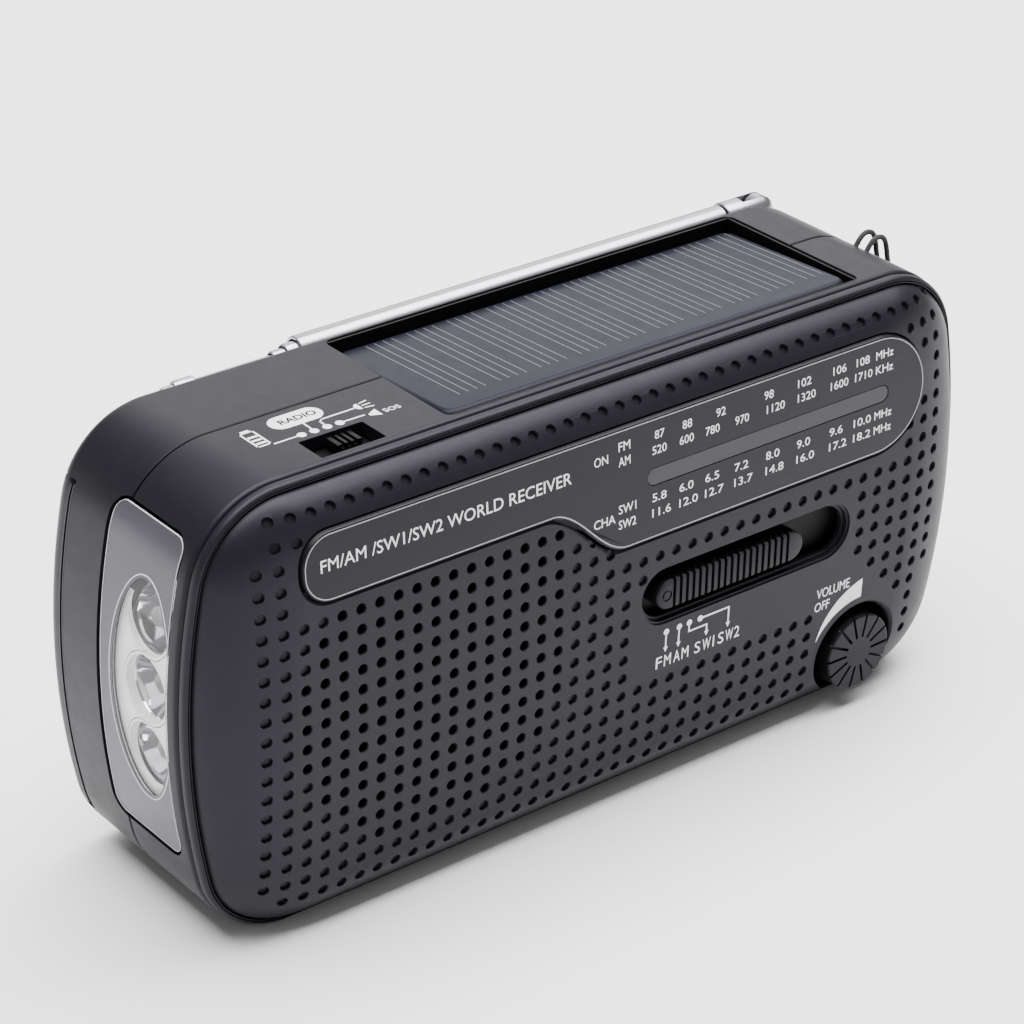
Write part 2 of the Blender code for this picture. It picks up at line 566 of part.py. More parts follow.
def make_antenna(chrome, black):
    pivot = (ANTENNA_PIVOT_X, ANTENNA_Y)
    axis = (ANTENNA_Y, ANTENNA_Z)
    hinge = (ANTENNA_PIVOT_X, ANTENNA_Y, ANTENNA_Z)
    foot = [(2.0, BRACKET_TOP - 7), (2.0, BRACKET_TOP + 0.4), (2.8, BRACKET_TOP + 0.4), (2.8, BRACKET_TOP + 1.8)]
    base = add_object("antenna_base", turned(foot, pivot, "Z"), chrome, (*pivot, BRACKET_TOP))
    tongue = prism(stadium((-2.6, 2.6, -2.6, 2.6)), ANTENNA_Y - 0.9, ANTENNA_Y + 0.9)
    turn_about_y(tongue, 0, (ANTENNA_PIVOT_X, ANTENNA_Z))
    combine(base, "add_tongue", tongue, "UNION")
    stem = box((ANTENNA_PIVOT_X - 1.8, ANTENNA_Y - 0.9, BRACKET_TOP + 1.2),
               (ANTENNA_PIVOT_X + 1.8, ANTENNA_Y + 0.9, ANTENNA_Z))
    combine(base, "add_stem", stem, "UNION")
    combine(base, "cut_pin_hole", rod(0.95, (ANTENNA_PIVOT_X, ANTENNA_Z), 15, 30, sides=16))
    fork = [(2.75, TUBE_START), (2.9, TUBE_START + 0.4), (2.9, ANTENNA_PIVOT_X)]
    fork += [(2.9 * math.cos(math.radians(a)), ANTENNA_PIVOT_X + 2.9 * math.sin(math.radians(a))) for a in (25, 50, 70, 82)]
    fork_object = add_object("antenna_fork", turned(fork, axis, "X"), chrome, hinge)
    slot = box((ANTENNA_PIVOT_X - 4.3, ANTENNA_Y - 1.2, 60), (80, ANTENNA_Y + 1.2, 80))
    combine(fork_object, "cut_fork_slot", slot)
    combine(fork_object, "cut_fork_pin", rod(0.95, (ANTENNA_PIVOT_X, ANTENNA_Z), 15, 30, sides=16))
    add_object("antenna_pin", rod(0.65, (ANTENNA_PIVOT_X, ANTENNA_Z), ANTENNA_Y - 2.6, ANTENNA_Y + 2.6, sides=12), chrome)
    for index, (name, outer, inner, end) in enumerate(TUBES):
        start = TUBE_START - GAP - 1.0 * index
        profile = [(inner, end), (outer - 0.15, end), (outer, end + 0.3), (outer, start), (inner, start)]
        add_object(name, turned(profile, axis, "X", closed=True), chrome, (end, *axis))
    add_object("antenna_rod", rod(ROD_RADIUS, axis, TIP_X[2] + GAP, TUBE_START - 4, "X", 12), chrome, (TIP_X[2], *axis))
    tip = [(0.5, TIP_X[0]), (0.9, TIP_X[0] + 0.4), (0.9, TIP_X[1]), (TIP_RADIUS, TIP_X[1] + 0.5), (TIP_RADIUS, TIP_X[2])]
    add_object("antenna_tip", turned(tip, axis, "X", 16), chrome, (TIP_X[1], *axis))
    rest = box((-42.9, REAR_Y + GAP, 68.0), (-39.2, 28.2, 68.8), 0.15)
    rest_object = add_object("antenna_rest", rest, black)
    combine(rest_object, "add_rest_lip", box((-42.8, 27.5, 68.4), (-39.3, 28.15, 69.9)), "UNION")


def make_ports(rubber, steel):
    socket = add_object("charge_socket", box((58, 12, 29.8), (67, 20.4, 34.2), 0.4), steel)
    combine(socket, "cut_charge_mouth", box((58.8, 14, 30.6), (66.2, 25, 33.4)))
    jack = [(1.8, 20.4), (3.5, 20.4), (3.5, 12), (1.0, 12), (1.0, 13), (1.8, 13)]
    add_object("earphone_socket", turned(jack, (62.5, 41.5), closed=True), steel)
    x0, x1, z0, z1 = PORT
    low = (x0 + GAP, REAR_Y - 0.9, z0 + GAP)
    high = (x1 - GAP, REAR_Y + 0.1, z1 - GAP)
    add_object("port_cover", box(low, high, 0.2), rubber, (x0 + GAP, REAR_Y + 0.1, (z0 + z1) / 2))


def strap_point(angle, height):
    """A point over the upper right corner, at an angle from the vertical, as (x, z)."""
    corner_z = CASE_HEIGHT / 2 - CORNER_RADIUS
    corner_x = CASE_LENGTH / 2 - END_RADIUS + math.sqrt((END_RADIUS - CORNER_RADIUS) ** 2 - corner_z ** 2)
    reach = CORNER_RADIUS + height
    turn = math.radians(angle)
    return corner_x + reach * math.sin(turn), CASE_HEIGHT / 2 + corner_z + reach * math.cos(turn)


def strap_fall(y):
    """One strand out of its hole, over the corner in a small arch and down the right end."""
    line = [(68.2, 71.2), (69.0, 72.3), (69.6, 73.1), (70.4, 73.75), (71.4, 73.95), (72.3, 73.65), (72.95, 72.9),
            (73.35, 71.8), (73.75, 70.0), (74.3, 67.6), (75.6, 63.2), (76.7, 58.0), (78.2, 46.0)]
    return [(x, y, z) for x, z in line]


def strap_route():
    """The whole loop: down one strand, round behind the case along the ground, and back up the other."""
    near, far = STRAND_Y
    first = [(78.5, near, 14.0), (78.5, near + 1.0, 5.2), (78.5, near + 4.4, 1.35), (78.5, near + 9.4, 0.62),
             (76.5, 23.0, 0.56), (67.0, 31.6, 0.56), (44.0, 33.8, 0.56), (27.0, 34.2, 0.56), (22.7, 34.85, 0.56),
             (20.8, 36.2, 0.56)]
    second = [(20.8, 37.7, 0.56), (22.7, 39.05, 0.56), (27.0, 39.7, 0.56), (44.0, 39.8, 0.56), (67.0, 38.2, 0.56),
              (79.4, 31.0, 0.56), (83.2, 16.0, 0.62), (81.8, far + 4.4, 1.35), (80.2, far + 1.0, 5.2),
              (78.9, far, 14.0)]
    return strap_fall(near) + first + second + strap_fall(far)[::-1]


def smooth_route(points, between):
    """A smooth curve through the points, with extra points between each two. It is cut at its own pace between
    points, so uneven spacing gives no loops."""
    points = [Vector(point) for point in points]
    ends = [2 * points[0] - points[1]] + points + [2 * points[-1] - points[-2]]
    route = [points[0]]
    for a, b, c, d in zip(ends, ends[1:], ends[2:], ends[3:]):
        before, along, after = (math.sqrt((q - p).length) for p, q in ((a, b), (b, c), (c, d)))
        leave = c - b + along * ((b - a) / before - (c - a) / (before + along))
        reach = c - b + along * ((d - c) / after - (d - b) / (along + after))
        for step in range(1, between + 2):
            t = step / (between + 1)
            route.append(b + leave * t + (3 * (c - b) - 2 * leave - reach) * t ** 2
                         + (2 * (b - c) + leave + reach) * t ** 3)
    return route


def make_strap(woven):
    curve = bpy.data.curves.new("wrist_strap_cord", "CURVE")
    curve.dimensions = "3D"
    curve.bevel_depth = CORD_RADIUS * MM
    curve.bevel_resolution = 2
    curve.use_fill_caps = True
    route = smooth_route(strap_route(), 1)
    spline = curve.splines.new("POLY")
    spline.points.add(len(route) - 1)
    for point, place_at in zip(spline.points, route):
        point.co = (*(place_at * MM), 1)
    curve.materials.append(woven)
    obj = bpy.data.objects.new("wrist_strap_cord", curve)
    bpy.context.scene.collection.objects.link(obj)


def main():
    clear_scene()
    case = finish("case_plastic", (0.075, 0.073, 0.085), 0.5)
    cover = finish("cover_plastic", (0.05, 0.048, 0.055), 0.45)
    black = finish("black_plastic", (0.01, 0.01, 0.011), 0.5)
    steel = finish("steel", (0.5, 0.5, 0.5), 0.35, 1.0)
    chrome = finish("chrome", (0.8, 0.8, 0.82), 0.15, 1.0)
    brass = finish("brass", (0.7, 0.5, 0.2), 0.3, 1.0)
    copper = finish("copper", (0.6, 0.28, 0.15), 0.4, 1.0)
    green = finish("board", (0.02, 0.18, 0.07), 0.5)
    glass = finish("led_glass", (0.9, 0.9, 0.85), 0.1)
    rubber = finish("rubber", (0.02, 0.02, 0.022), 0.8)
    white = finish("gear_plastic", (0.75, 0.74, 0.7), 0.5)
    make_front_cover(cover)
    make_trim_ring(cover)
    make_front_shell(case)
    make_rear_shell(case)
    make_case_details(case, steel)
    make_dial(finish("dial_plastic", (0.035, 0.034, 0.04), 0.3), finish("frosted", (0.2, 0.2, 0.21), 0.4),
              finish("pointer", (0.8, 0.15, 0.05), 0.5))
    make_tuning(cover, steel, finish("capacitor", (0.3, 0.3, 0.32), 0.5))
    make_band_slider(cover, black)
    make_volume(cover, steel)
    make_function_switch(black, black)
    make_solar(black, finish("solar_cell", (0.06, 0.06, 0.09), 0.15))
    make_torch(finish("clear_plastic", (0.45, 0.45, 0.47), 0.15), chrome, glass, green)
    make_speaker(steel, finish("paper", (0.03, 0.03, 0.03), 0.9), finish("ferrite", (0.06, 0.06, 0.06), 0.6))
    make_boards(green)
    make_crank(case, black, steel)
    make_gears(white, brass, copper)
    make_antenna_bracket(case)
    make_antenna(chrome, black)
    make_ports(rubber, steel)
    make_strap(finish("cord", (0.02, 0.02, 0.022), 0.9))


main()
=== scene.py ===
"""Emergency radio: fine surfaces, materials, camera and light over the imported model.

Lengths in this file are in millimetres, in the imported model's frame: X runs along the length, the front
faces -Y and Z is up. MM turns them into metres. A rectangle is the low and high of its first
coordinate, then of its second.
"""

from math import atan2, cos, degrees, pi, radians, sin, sqrt

import bmesh
import bpy
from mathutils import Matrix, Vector
from mathutils.bvhtree import BVHTree


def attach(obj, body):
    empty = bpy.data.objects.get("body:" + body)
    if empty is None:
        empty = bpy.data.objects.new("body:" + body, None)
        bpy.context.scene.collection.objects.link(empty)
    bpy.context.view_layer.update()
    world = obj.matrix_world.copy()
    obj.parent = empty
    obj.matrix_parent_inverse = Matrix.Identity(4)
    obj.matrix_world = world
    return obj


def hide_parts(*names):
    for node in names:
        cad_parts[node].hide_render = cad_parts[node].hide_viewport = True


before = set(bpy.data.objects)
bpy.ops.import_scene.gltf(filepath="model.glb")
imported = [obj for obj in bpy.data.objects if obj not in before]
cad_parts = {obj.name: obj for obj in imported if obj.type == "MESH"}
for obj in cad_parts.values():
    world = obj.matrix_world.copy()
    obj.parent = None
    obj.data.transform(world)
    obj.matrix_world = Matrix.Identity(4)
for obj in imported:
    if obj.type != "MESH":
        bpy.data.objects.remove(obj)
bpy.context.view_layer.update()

MM = 0.001
SHARP = radians(32)

# Case
CASE_LENGTH = 155.1
CASE_HEIGHT = 75.0
END_RADIUS = 120.5
CORNER_RADIUS = 15.6
WALL = 2.0
FACE_Y = -22.0
REAR_Y = 22.0
REAR_ROUND = 3.0
PARTING_Y = 4.0
PARTING_GAP = 0.3

# Front cover. BARREL is the face's fall over the square of the height from its middle. ROLL shapes its round
# edge: near 0 it is a parabola, at 1 a quarter of an ellipse
COVER_EDGE_Y = -15.3
COVER_INSET = 1.6
BARREL = 0.001284
ROLL = 0.95
ROLL_AT_SIDES = 15.5
ROLL_AT_TOP = 7.0

# Hole pattern: columns count from the left and rows downwards. A hole is (radius, depth) points. ROWS has the
# first and last column of each run of holes, THROUGH those of a row that are open
PITCH = 3.35
COLUMN_ZERO_X = -60.3
ROW_ZERO_Z = 44.2
OPEN_HOLE = ((1.25, -0.3), (0.95, 0), (0.83, 0.14), (0.83, 3.2))
BLIND_HOLE = ((1.2, -0.3), (0.94, 0), (0.86, 0.12), (0.82, 0.62))
ROWS = {
    -8: [(-1, 38)], -7: [(-1, 0), (36, 38)], -6: [(-2, -1), (37, 38)], -5: [(-2, -1), (38, 38)],
    -4: [(-2, -1), (38, 38)], -3: [(-2, 14), (37, 38)], -2: [(-2, 16), (35, 38)], -1: [(-2, 17), (36, 38)],
    0: [(-2, 38)], 1: [(-2, 19), (33, 38)], 2: [(-2, 18), (33, 38)], 3: [(-2, 18), (33, 38)],
    4: [(-2, 18), (33, 38)], 5: [(-2, 18), (34, 38)], 6: [(-2, 18), (35, 38)], 7: [(-2, 30), (36, 37)],
    8: [(-2, 30), (37, 37)], 9: [(-2, 30), (37, 37)], 10: [(-2, 30), (37, 37)], 11: [(-1, 30)],
}
THROUGH = {-3: (2, 14), -2: (1, 14), -1: (1, 14), 0: (0, 14), 1: (0, 14), 2: (0, 14), 3: (0, 14), 4: (0, 14),
           5: (1, 14), 6: (1, 13), 7: (2, 13), 8: (3, 12), 9: (4, 10)}

# Front controls. RIBS are the slider's: the first, the last and their count
DIAL_TOP = 68.5
DIAL_STEP = 57.5
DIAL_BOTTOM = 48.0
DIAL_LEFT = -60.3
DIAL_RIGHT = 62.7
DIAL_LEFT_ROUND = 5.0
DIAL_S_CENTRE = -8.1
DIAL_S_HALF = 7.6
DIAL_FRONT = -0.4
WINDOW = (3.6, 54.5, 57.2, 60.0)
SLOT = (3.6, 47.4, 31.9, 41.3)
SLIDER = (6.3, 37.3, 34.0, 39.2)
VOLUME_CENTRE = (52.0, 10.8)
VOLUME_WELL_RADIUS = 8.6
VOLUME_KNOB_RADIUS = 6.8
VOLUME_KNOB_BASE = 7.6
VOLUME_SLOTS = 14
RIBS = (10.5, 33.2, 17)

# Printing: half its thickness, the width of a stroke, and the wedge at the volume knob
PRINT = 0.02
STROKE = 0.28
WEDGE_CENTRE = (52.0, 10.5)
WEDGE_RADIUS = 10.8
WEDGE_WIDTH = 3.5

# Spaced letters under the slot, each with its left and right edge
COVER_LETTERS = (("F", 6.9, 8.1), ("M", 8.6, 10.0), ("A", 10.6, 11.9), ("M", 12.3, 13.7),
                 ("S", 15.0, 16.2), ("W", 16.7, 18.4), ("1", 18.9, 19.15),
                 ("S", 20.0, 21.2), ("W", 21.6, 23.2), ("2", 23.5, 24.6))

# Top. The cell's thin lines lie between two places along it, in groups of four
SOLAR = (-27.8, 55.5, -12.7, 19.3)
SOLAR_GAP = 0.3
SOLAR_FALL = 1.6
CELL_LINES = (-21.6, 53.2)
CELL_LINE_PITCH = 1.65
CELL_LINE_WIDE_PITCH = 2.9
CELL_LINE_WIDTH = 0.084
SWITCH = (-50.4, -39.0, -12.4, -6.4)
SWITCH_KNOB_X = -43.6

# Left end
LENS = (-11.1, 7.3, 15.1, 68.2)
LAMP_Y = -3.9
LAMP_HEIGHTS = (52.6, 41.5, 30.1)
OVAL_CENTRE = (-3.9, 41.5)
OVAL_HALF_WIDTH = 7.75
OVAL_HALF_HEIGHT = 17.95

# Rear. DOOR is the battery door's inner edge, the depth it starts at, and its two heights
DOOR = (-36.0, 17.9, 9.3, 65.3)
DISH_CENTRE = (10.0, 36.5)
DISH_RADIUS = 31.5
DISH_FLOOR_Y = 12.0
CRANK_REACH = 27.2
KNOB_AXIS_Y = 18.7
PORT = (54.0, 71.0, 23.0, 49.0)
PORT_NOTCH = (66.5, 69.0, 33.0, 39.0)
CHARGE_OPENING = (57.6, 67.4, 29.4, 34.6)
EARPHONE_CENTRE = (62.5, 41.5)
SCREW_PLACES = ((-29.0, 8.0), (-29.0, 66.0), (49.0, 8.0), (49.0, 66.0))

# Tuning wheel and its opening in the right end
WHEEL_CENTRE = (60.5, 40.0)
WHEEL_RADIUS = 18.75
WHEEL_RIBS = 48
WHEEL_OPENING = (4.4, 10.0, 25.5, 54.5)

# Antenna: each tube has an outer and an inner radius and an end
ANTENNA_AXIS = (25.2, 71.2)
PIVOT_X = 67.4
FORK_START = 59.3
TUBES = (("outer", 2.6, 2.15, -29.0), ("middle", 1.85, 1.6, -31.2), ("inner", 1.3, 1.05, -33.5))

# Wrist strap. It lies on the ground at LYING, and leaves the case square to its corner
CORD_RADIUS = 0.45
STRAND_Y = (2.0, -0.6)
STRAND_ANGLE = radians(36)
LYING = 0.56

# Camera
CAMERA_PLACE = (-285.436, -348.570, 287.911)
CAMERA_TURN = (61.613, -0.931, -38.276)
CAMERA_LENS = 113.3


# ---- shapes

def place(axis, along, first, second):
    """A point from its coordinate along an axis and its two others, in X, Y, Z order."""
    if axis == "X":
        return (along, first, second)
    if axis == "Y":
        return (first, along, second)
    return (first, second, along)


def loft(rings, closed=False, bm=None):
    """Skins rings of equally many points. Its ends are capped, or joined to each other if closed."""
    if bm is None:
        bm = bmesh.new()
    rows = [[bm.verts.new(point) for point in ring] for ring in rings]
    pairs = list(zip(rows, rows[1:]))
    if closed:
        pairs.append((rows[-1], rows[0]))
    for lower, upper in pairs:
        for i in range(len(lower)):
            j = (i + 1) % len(lower)
            bm.faces.new((lower[i], lower[j], upper[j], upper[i]))
    if not closed:
        bm.faces.new(rows[0])
        bm.faces.new(rows[-1])
    return bm


def stack(outline, steps, axis="Y"):
    """Skins copies of outline(grow) at (grow, along) steps: a prism with shaped edges."""
    return loft([[place(axis, along, *point) for point in outline(grow)] for grow, along in steps])


def prism(points, low, high, axis="Y"):
    return loft([[place(axis, along, *point) for point in points] for along in (low, high)])


def box(low, high):
    x0, y0, z0 = low
    x1, y1, z1 = high
    return prism([(x0, z0), (x1, z0), (x1, z1), (x0, z1)], y0, y1)


def soft_box(low, high, edge, segments=3):
    bm = box(low, high)
    bmesh.ops.bevel(bm, geom=bm.edges[:], offset=edge, segments=segments, profile=0.5, affect="EDGES")
    return bm


def circle(radius, sides, centre=(0.0, 0.0)):
    angles = [2 * pi * i / sides for i in range(sides)]
    return [(centre[0] + radius * cos(a), centre[1] + radius * sin(a)) for a in angles]


def oval(half_width, half_height, centre):
    return [(centre[0] + half_width * x, centre[1] + half_height * z) for x, z in circle(1, 64)]


def turned(profile, centre, axis="Y", sides=64, closed=False):
    """Turns (radius, along) points round an axis through the centre."""
    rings = []
    for radius, along in profile:
        rings.append([place(axis, along, *point) for point in circle(radius, sides, centre)])
    return loft(rings, closed)


def rod(radius, centre, low, high, axis="Y", sides=64):
    return turned([(radius, low), (radius, high)], centre, axis, sides)


def arc(centre, radius, start, end, steps):
    points = []
    for i in range(steps + 1):
        angle = radians(start + (end - start) * i / steps)
        points.append((centre[0] + radius * cos(angle), centre[1] + radius * sin(angle)))
    return points


def rounded_rectangle(limits, radius, grow=0.0, steps=8):
    x0, x1, z0, z1 = limits
    x0, x1, z0, z1 = x0 - grow, x1 + grow, z0 - grow, z1 + grow
    x0, x1, z0, z1 = x0 + radius, x1 - radius, z0 + radius, z1 - radius
    points = []
    for turn, corner in ((-90, (x1, z0)), (0, (x1, z1)), (90, (x0, z1)), (180, (x0, z0))):
        points += arc(corner, radius, turn, turn + 90, steps)
    return points


def grown_rectangle(limits, radius):
    """Gives outline(grow) of a rounded rectangle."""
    return lambda grow: rounded_rectangle(limits, max(radius + grow, 0.05), grow)


def stadium(limits, grow=0.0, steps=20):
    x0, x1, z0, z1 = limits
    radius = (z1 - z0) / 2 + grow
    points = arc((x1 + grow - radius, (z0 + z1) / 2), radius, -90, 90, steps)
    return points + arc((x0 - grow + radius, (z0 + z1) / 2), radius, 90, 270, steps)


def grown_stadium(limits, steps=20):
    """Gives outline(grow) of a stadium."""
    return lambda grow: stadium(limits, grow, steps)


def corner_centre(half_length, half_height, end_radius, corner_radius):
    """Centre of the upper right corner's round, with its height from mid-height."""
    z = half_height - corner_radius
    return half_length - end_radius + sqrt((end_radius - corner_radius) ** 2 - z ** 2), z


def case_outline(half_length, half_height, end_radius, corner_radius):
    """Outline with straight top and bottom, bowed ends and round corners, about mid-height."""
    end_steps = 28
    corner_x, corner_z = corner_centre(half_length, half_height, end_radius, corner_radius)
    end_x = half_length - end_radius
    turn = degrees(atan2(corner_z, corner_x - end_x))
    right = arc((end_x, 0), end_radius, -turn, turn, end_steps)
    right += arc((corner_x, corner_z), corner_radius, turn, 90, 20)[1:]
    lower = [(x, -z) for x, z in reversed(right[end_steps + 1:])]
    right = lower + right
    left = [(-x, z) for x, z in reversed(right)]
    return [(x, z + CASE_HEIGHT / 2) for x, z in right + left]


def inset_outline(inset):
    return case_outline(CASE_LENGTH / 2 - inset, CASE_HEIGHT / 2 - inset, END_RADIUS - inset,
                        CORNER_RADIUS - inset)


def case_ring(steps, closed=True):
    """A ring or cup along the case's outline, from (inset, depth) steps."""
    return loft([[(x, y, z) for x, z in inset_outline(inset)] for inset, y in steps], closed)


def case_band(outer, inner, low_y, high_y):
    """A band along the case's outline, between two insets and two depths."""
    return case_ring([(outer, low_y), (outer, high_y), (inner, high_y), (inner, low_y)])


def barrel(z):
    """How far the front face falls back at a height."""
    return BARREL * (z - CASE_HEIGHT / 2) ** 2


def cover_ring(edge, more, thickness):
    """One ring of the pillow-edged cover; edge runs from 1 at its rim to 0, then more leads to the middle."""
    side_step = ROLL_AT_SIDES * (1 - edge) ** 1.07 + more
    height_step = ROLL_AT_TOP * (1 - edge) ** 0.96 + more
    half_length = CASE_LENGTH / 2 - COVER_INSET - side_step
    half_height = CASE_HEIGHT / 2 - COVER_INSET - height_step
    corner = min(CORNER_RADIUS - COVER_INSET, half_height * 0.9) * (0.6 + 0.4 * edge)
    roll = (1 - sqrt(1 - ROLL * edge ** 2)) / (1 - sqrt(1 - ROLL))
    points = []
    for x, z in case_outline(half_length, half_height, END_RADIUS, corner):
        fall = barrel(z)
        y = FACE_Y + fall + (COVER_EDGE_Y - FACE_Y - fall) * roll + thickness
        points.append((x, y, z))
    return points


def dial_outline(grow):
    """Dial plate with a shallow left part, an S-shaped step and a deep round right part."""
    radius = (DIAL_TOP - DIAL_BOTTOM) / 2
    points = arc((DIAL_RIGHT - radius, DIAL_BOTTOM + radius), radius + grow, -90, 90, 40)
    left_round = DIAL_LEFT_ROUND
    points += arc((DIAL_LEFT + left_round, DIAL_TOP - left_round), left_round + grow, 90, 180, 14)
    points += arc((DIAL_LEFT + left_round, DIAL_STEP + left_round), left_round + grow, 180, 270, 14)
    rise = (DIAL_STEP - DIAL_BOTTOM) / 2
    for i in range(33):
        turn = pi * i / 32
        x = DIAL_S_CENTRE - grow + DIAL_S_HALF * (2 * i / 32 - 1)
        points.append((x, DIAL_BOTTOM + rise + rise * cos(turn) - grow))
    return points


def on_face(outline, steps):
    """A plate that follows the curved front. steps are (grow, depth behind the face)."""
    spacing = 1.5
    bm = stack(outline, steps)
    bmesh.ops.triangulate(bm, faces=[face for face in bm.faces if len(face.verts) > 4])
    heights = [vert.co.z for vert in bm.verts]
    z = min(heights) + spacing
    while z < max(heights):
        geometry = bm.verts[:] + bm.edges[:] + bm.faces[:]
        bmesh.ops.bisect_plane(bm, geom=geometry, plane_co=(0, 0, z), plane_no=(0, 0, 1))
        z += spacing
    for vert in bm.verts:
        vert.co.y += FACE_Y + barrel(vert.co.z)
    return bm


def turn_about_y(bm, angle, centre):
    """Turns a shape drawn about the origin round Y, then moves it to a place on the face."""
    for vert in bm.verts:
        x, y, z = vert.co
        vert.co = (x * cos(angle) - z * sin(angle) + centre[0], y,
                   z * cos(angle) + x * sin(angle) + centre[1])
    return bm


def gathered(shapes):
    """One shape out of several, which are used up."""
    whole = bmesh.new()
    for shape in shapes:
        mesh = bpy.data.meshes.new("shape")
        shape.to_mesh(mesh)
        shape.free()
        whole.from_mesh(mesh)
        bpy.data.meshes.remove(mesh)
    return whole


# ---- pieces

def add_object(name, data):
    obj = bpy.data.objects.new(name, data)
    bpy.context.scene.collection.objects.link(obj)
    return obj


def add_mesh(name, bm, material):
    bmesh.ops.recalc_face_normals(bm, faces=bm.faces)
    bmesh.ops.scale(bm, vec=(MM, MM, MM), verts=bm.verts)
    mesh = bpy.data.meshes.new(name)
    bm.to_mesh(mesh)
    bm.free()
    mesh.materials.append(material)
    return add_object(name, mesh)


def carve(obj, *shapes, operation="DIFFERENCE"):
    """Cuts the shapes out of a mesh, or applies another Boolean with them."""
    cutters = [add_mesh("cutter", shape, obj.data.materials[0]) for shape in shapes]
    for cutter in cutters:
        modifier = obj.modifiers.new("cut", "BOOLEAN")
        modifier.solver = "MANIFOLD"
        modifier.operation = operation
        modifier.object = cutter
    graph = bpy.context.evaluated_depsgraph_get()
    mesh = bpy.data.meshes.new_from_object(obj.evaluated_get(graph))
    obj.modifiers.clear()
    obj.data = mesh
    for cutter in cutters:
        bpy.data.objects.remove(cutter)


def keep(obj, shape):
    """Leaves only what is inside the shape."""
    carve(obj, shape, operation="INTERSECT")


def join(obj, *shapes):
    carve(obj, *shapes, operation="UNION")


def piece(obj, body, *stands_for, sharp=SHARP):
    """Shades a piece, and makes it ride on a body in place of CAD nodes."""
    if obj.type == "MESH":
        obj.data.shade_smooth()
        obj.data.set_sharp_from_angle(angle=sharp)
    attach(obj, body)
    if stands_for:
        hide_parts(*stands_for)
    return obj


def make_piece(name, bm, material, body, *stands_for, cuts=(), sharp=SHARP):
    """A piece of one shape, less the cuts."""
    obj = add_mesh(name, bm, material)
    if cuts:
        carve(obj, *cuts)
    return piece(obj, body, *stands_for, sharp=sharp)


def face_normal(point):
    """Normal of the front face at the height of a point, which is in metres."""
    return Vector((0, -1, 2 * BARREL * (point.z / MM - CASE_HEIGHT / 2))).normalized()


def even_face(obj):
    """Shades the curved front face by its exact slope, so that the cuts through it leave no streaks."""
    mesh = obj.data
    normals = [Vector(corner.vector) for corner in mesh.corner_normals]
    for polygon in mesh.polygons:
        if polygon.normal.dot(face_normal(polygon.center)) < 0.9995:
            continue
        for corner in polygon.loop_indices:
            normals[corner] = face_normal(mesh.vertices[mesh.loops[corner].vertex_index].co)
    mesh.normals_split_custom_set(normals)


# ---- materials

def feed(tree, socket, source):
    """Sets a socket to a value, or links it to another socket."""
    if isinstance(source, bpy.types.NodeSocket):
        tree.links.new(source, socket)
    else:
        socket.default_value = source


def add_node(tree, kind, inputs):
    node = tree.nodes.new("ShaderNode" + kind)
    for name, source in inputs.items():
        feed(tree, node.inputs[name], source)
    return node


def mapped(tree, scale=(1, 1, 1), rotation=(0, 0, 0)):
    """The object's own coordinates, scaled and turned."""
    place_in = tree.nodes.new("ShaderNodeTexCoord").outputs["Object"]
    node = add_node(tree, "Mapping", {"Vector": place_in, "Scale": scale, "Rotation": rotation})
    return node.outputs["Vector"]


def noise(tree, vector, size, detail=2.0):
    """Noise whose blobs are about this many millimetres across."""
    node = add_node(tree, "TexNoise", {"Vector": vector, "Scale": 1 / (size * MM), "Detail": detail})
    return node.outputs["Fac"]


def ramp(tree, factor, low, high, low_value, high_value):
    inputs = {"Value": factor, "From Min": low, "From Max": high, "To Min": low_value, "To Max": high_value}
    return add_node(tree, "MapRange", inputs).outputs["Result"]


def blend(tree, factor, first, second):
    """Mixes two colours, each with its alpha or a socket."""
    node = tree.nodes.new("ShaderNodeMix")
    node.data_type = "RGBA"
    for index, source in ((0, factor), (6, first), (7, second)):
        feed(tree, node.inputs[index], source)
    return node.outputs[2]


def shade(colour, factor, extra=0.0):
    """The colour made lighter or darker, with its alpha."""
    return (*(min(1.0, c * factor + extra) for c in colour), 1.0)


def finish(name, colour, roughness, metallic=0.0, mottle=0.08, grain=0.22, depth=0.006, scuffs=0.04,
           stretch=(1, 1, 1), fixed=None):
    """A finish with mottled colour, uneven gloss, fine grain in relief and faint scuffs."""
    material = bpy.data.materials.new(name)
    material.use_nodes = True
    tree = material.node_tree
    vector = mapped(tree, stretch)
    mottled = blend(tree, noise(tree, vector, size=9.0, detail=4.0), shade(colour, 1 - mottle),
                    shade(colour, 1 + mottle))
    scratches = noise(tree, mapped(tree, (1, 14, 14), (0.3, 0.5, 0.4)), size=7.0, detail=4.0)
    share = ramp(tree, scratches, 0.62, 0.72, 0.0, min(1.0, scuffs * 5))
    smudges = noise(tree, vector, size=3.0, detail=3.0)
    relief = {"Height": noise(tree, vector, grain), "Strength": 0.6, "Distance": depth * MM}
    inputs = {
        "Base Color": blend(tree, share, mottled, shade(colour, 1.25, scuffs * 0.4)),
        "Roughness": ramp(tree, smudges, 0.3, 0.7, max(0.02, roughness - 0.025), roughness + 0.025),
        "Metallic": metallic,
        "Normal": add_node(tree, "Bump", relief).outputs["Normal"],
        **(fixed or {}),
    }
    for socket, source in inputs.items():
        feed(tree, tree.nodes["Principled BSDF"].inputs[socket], source)
    return material


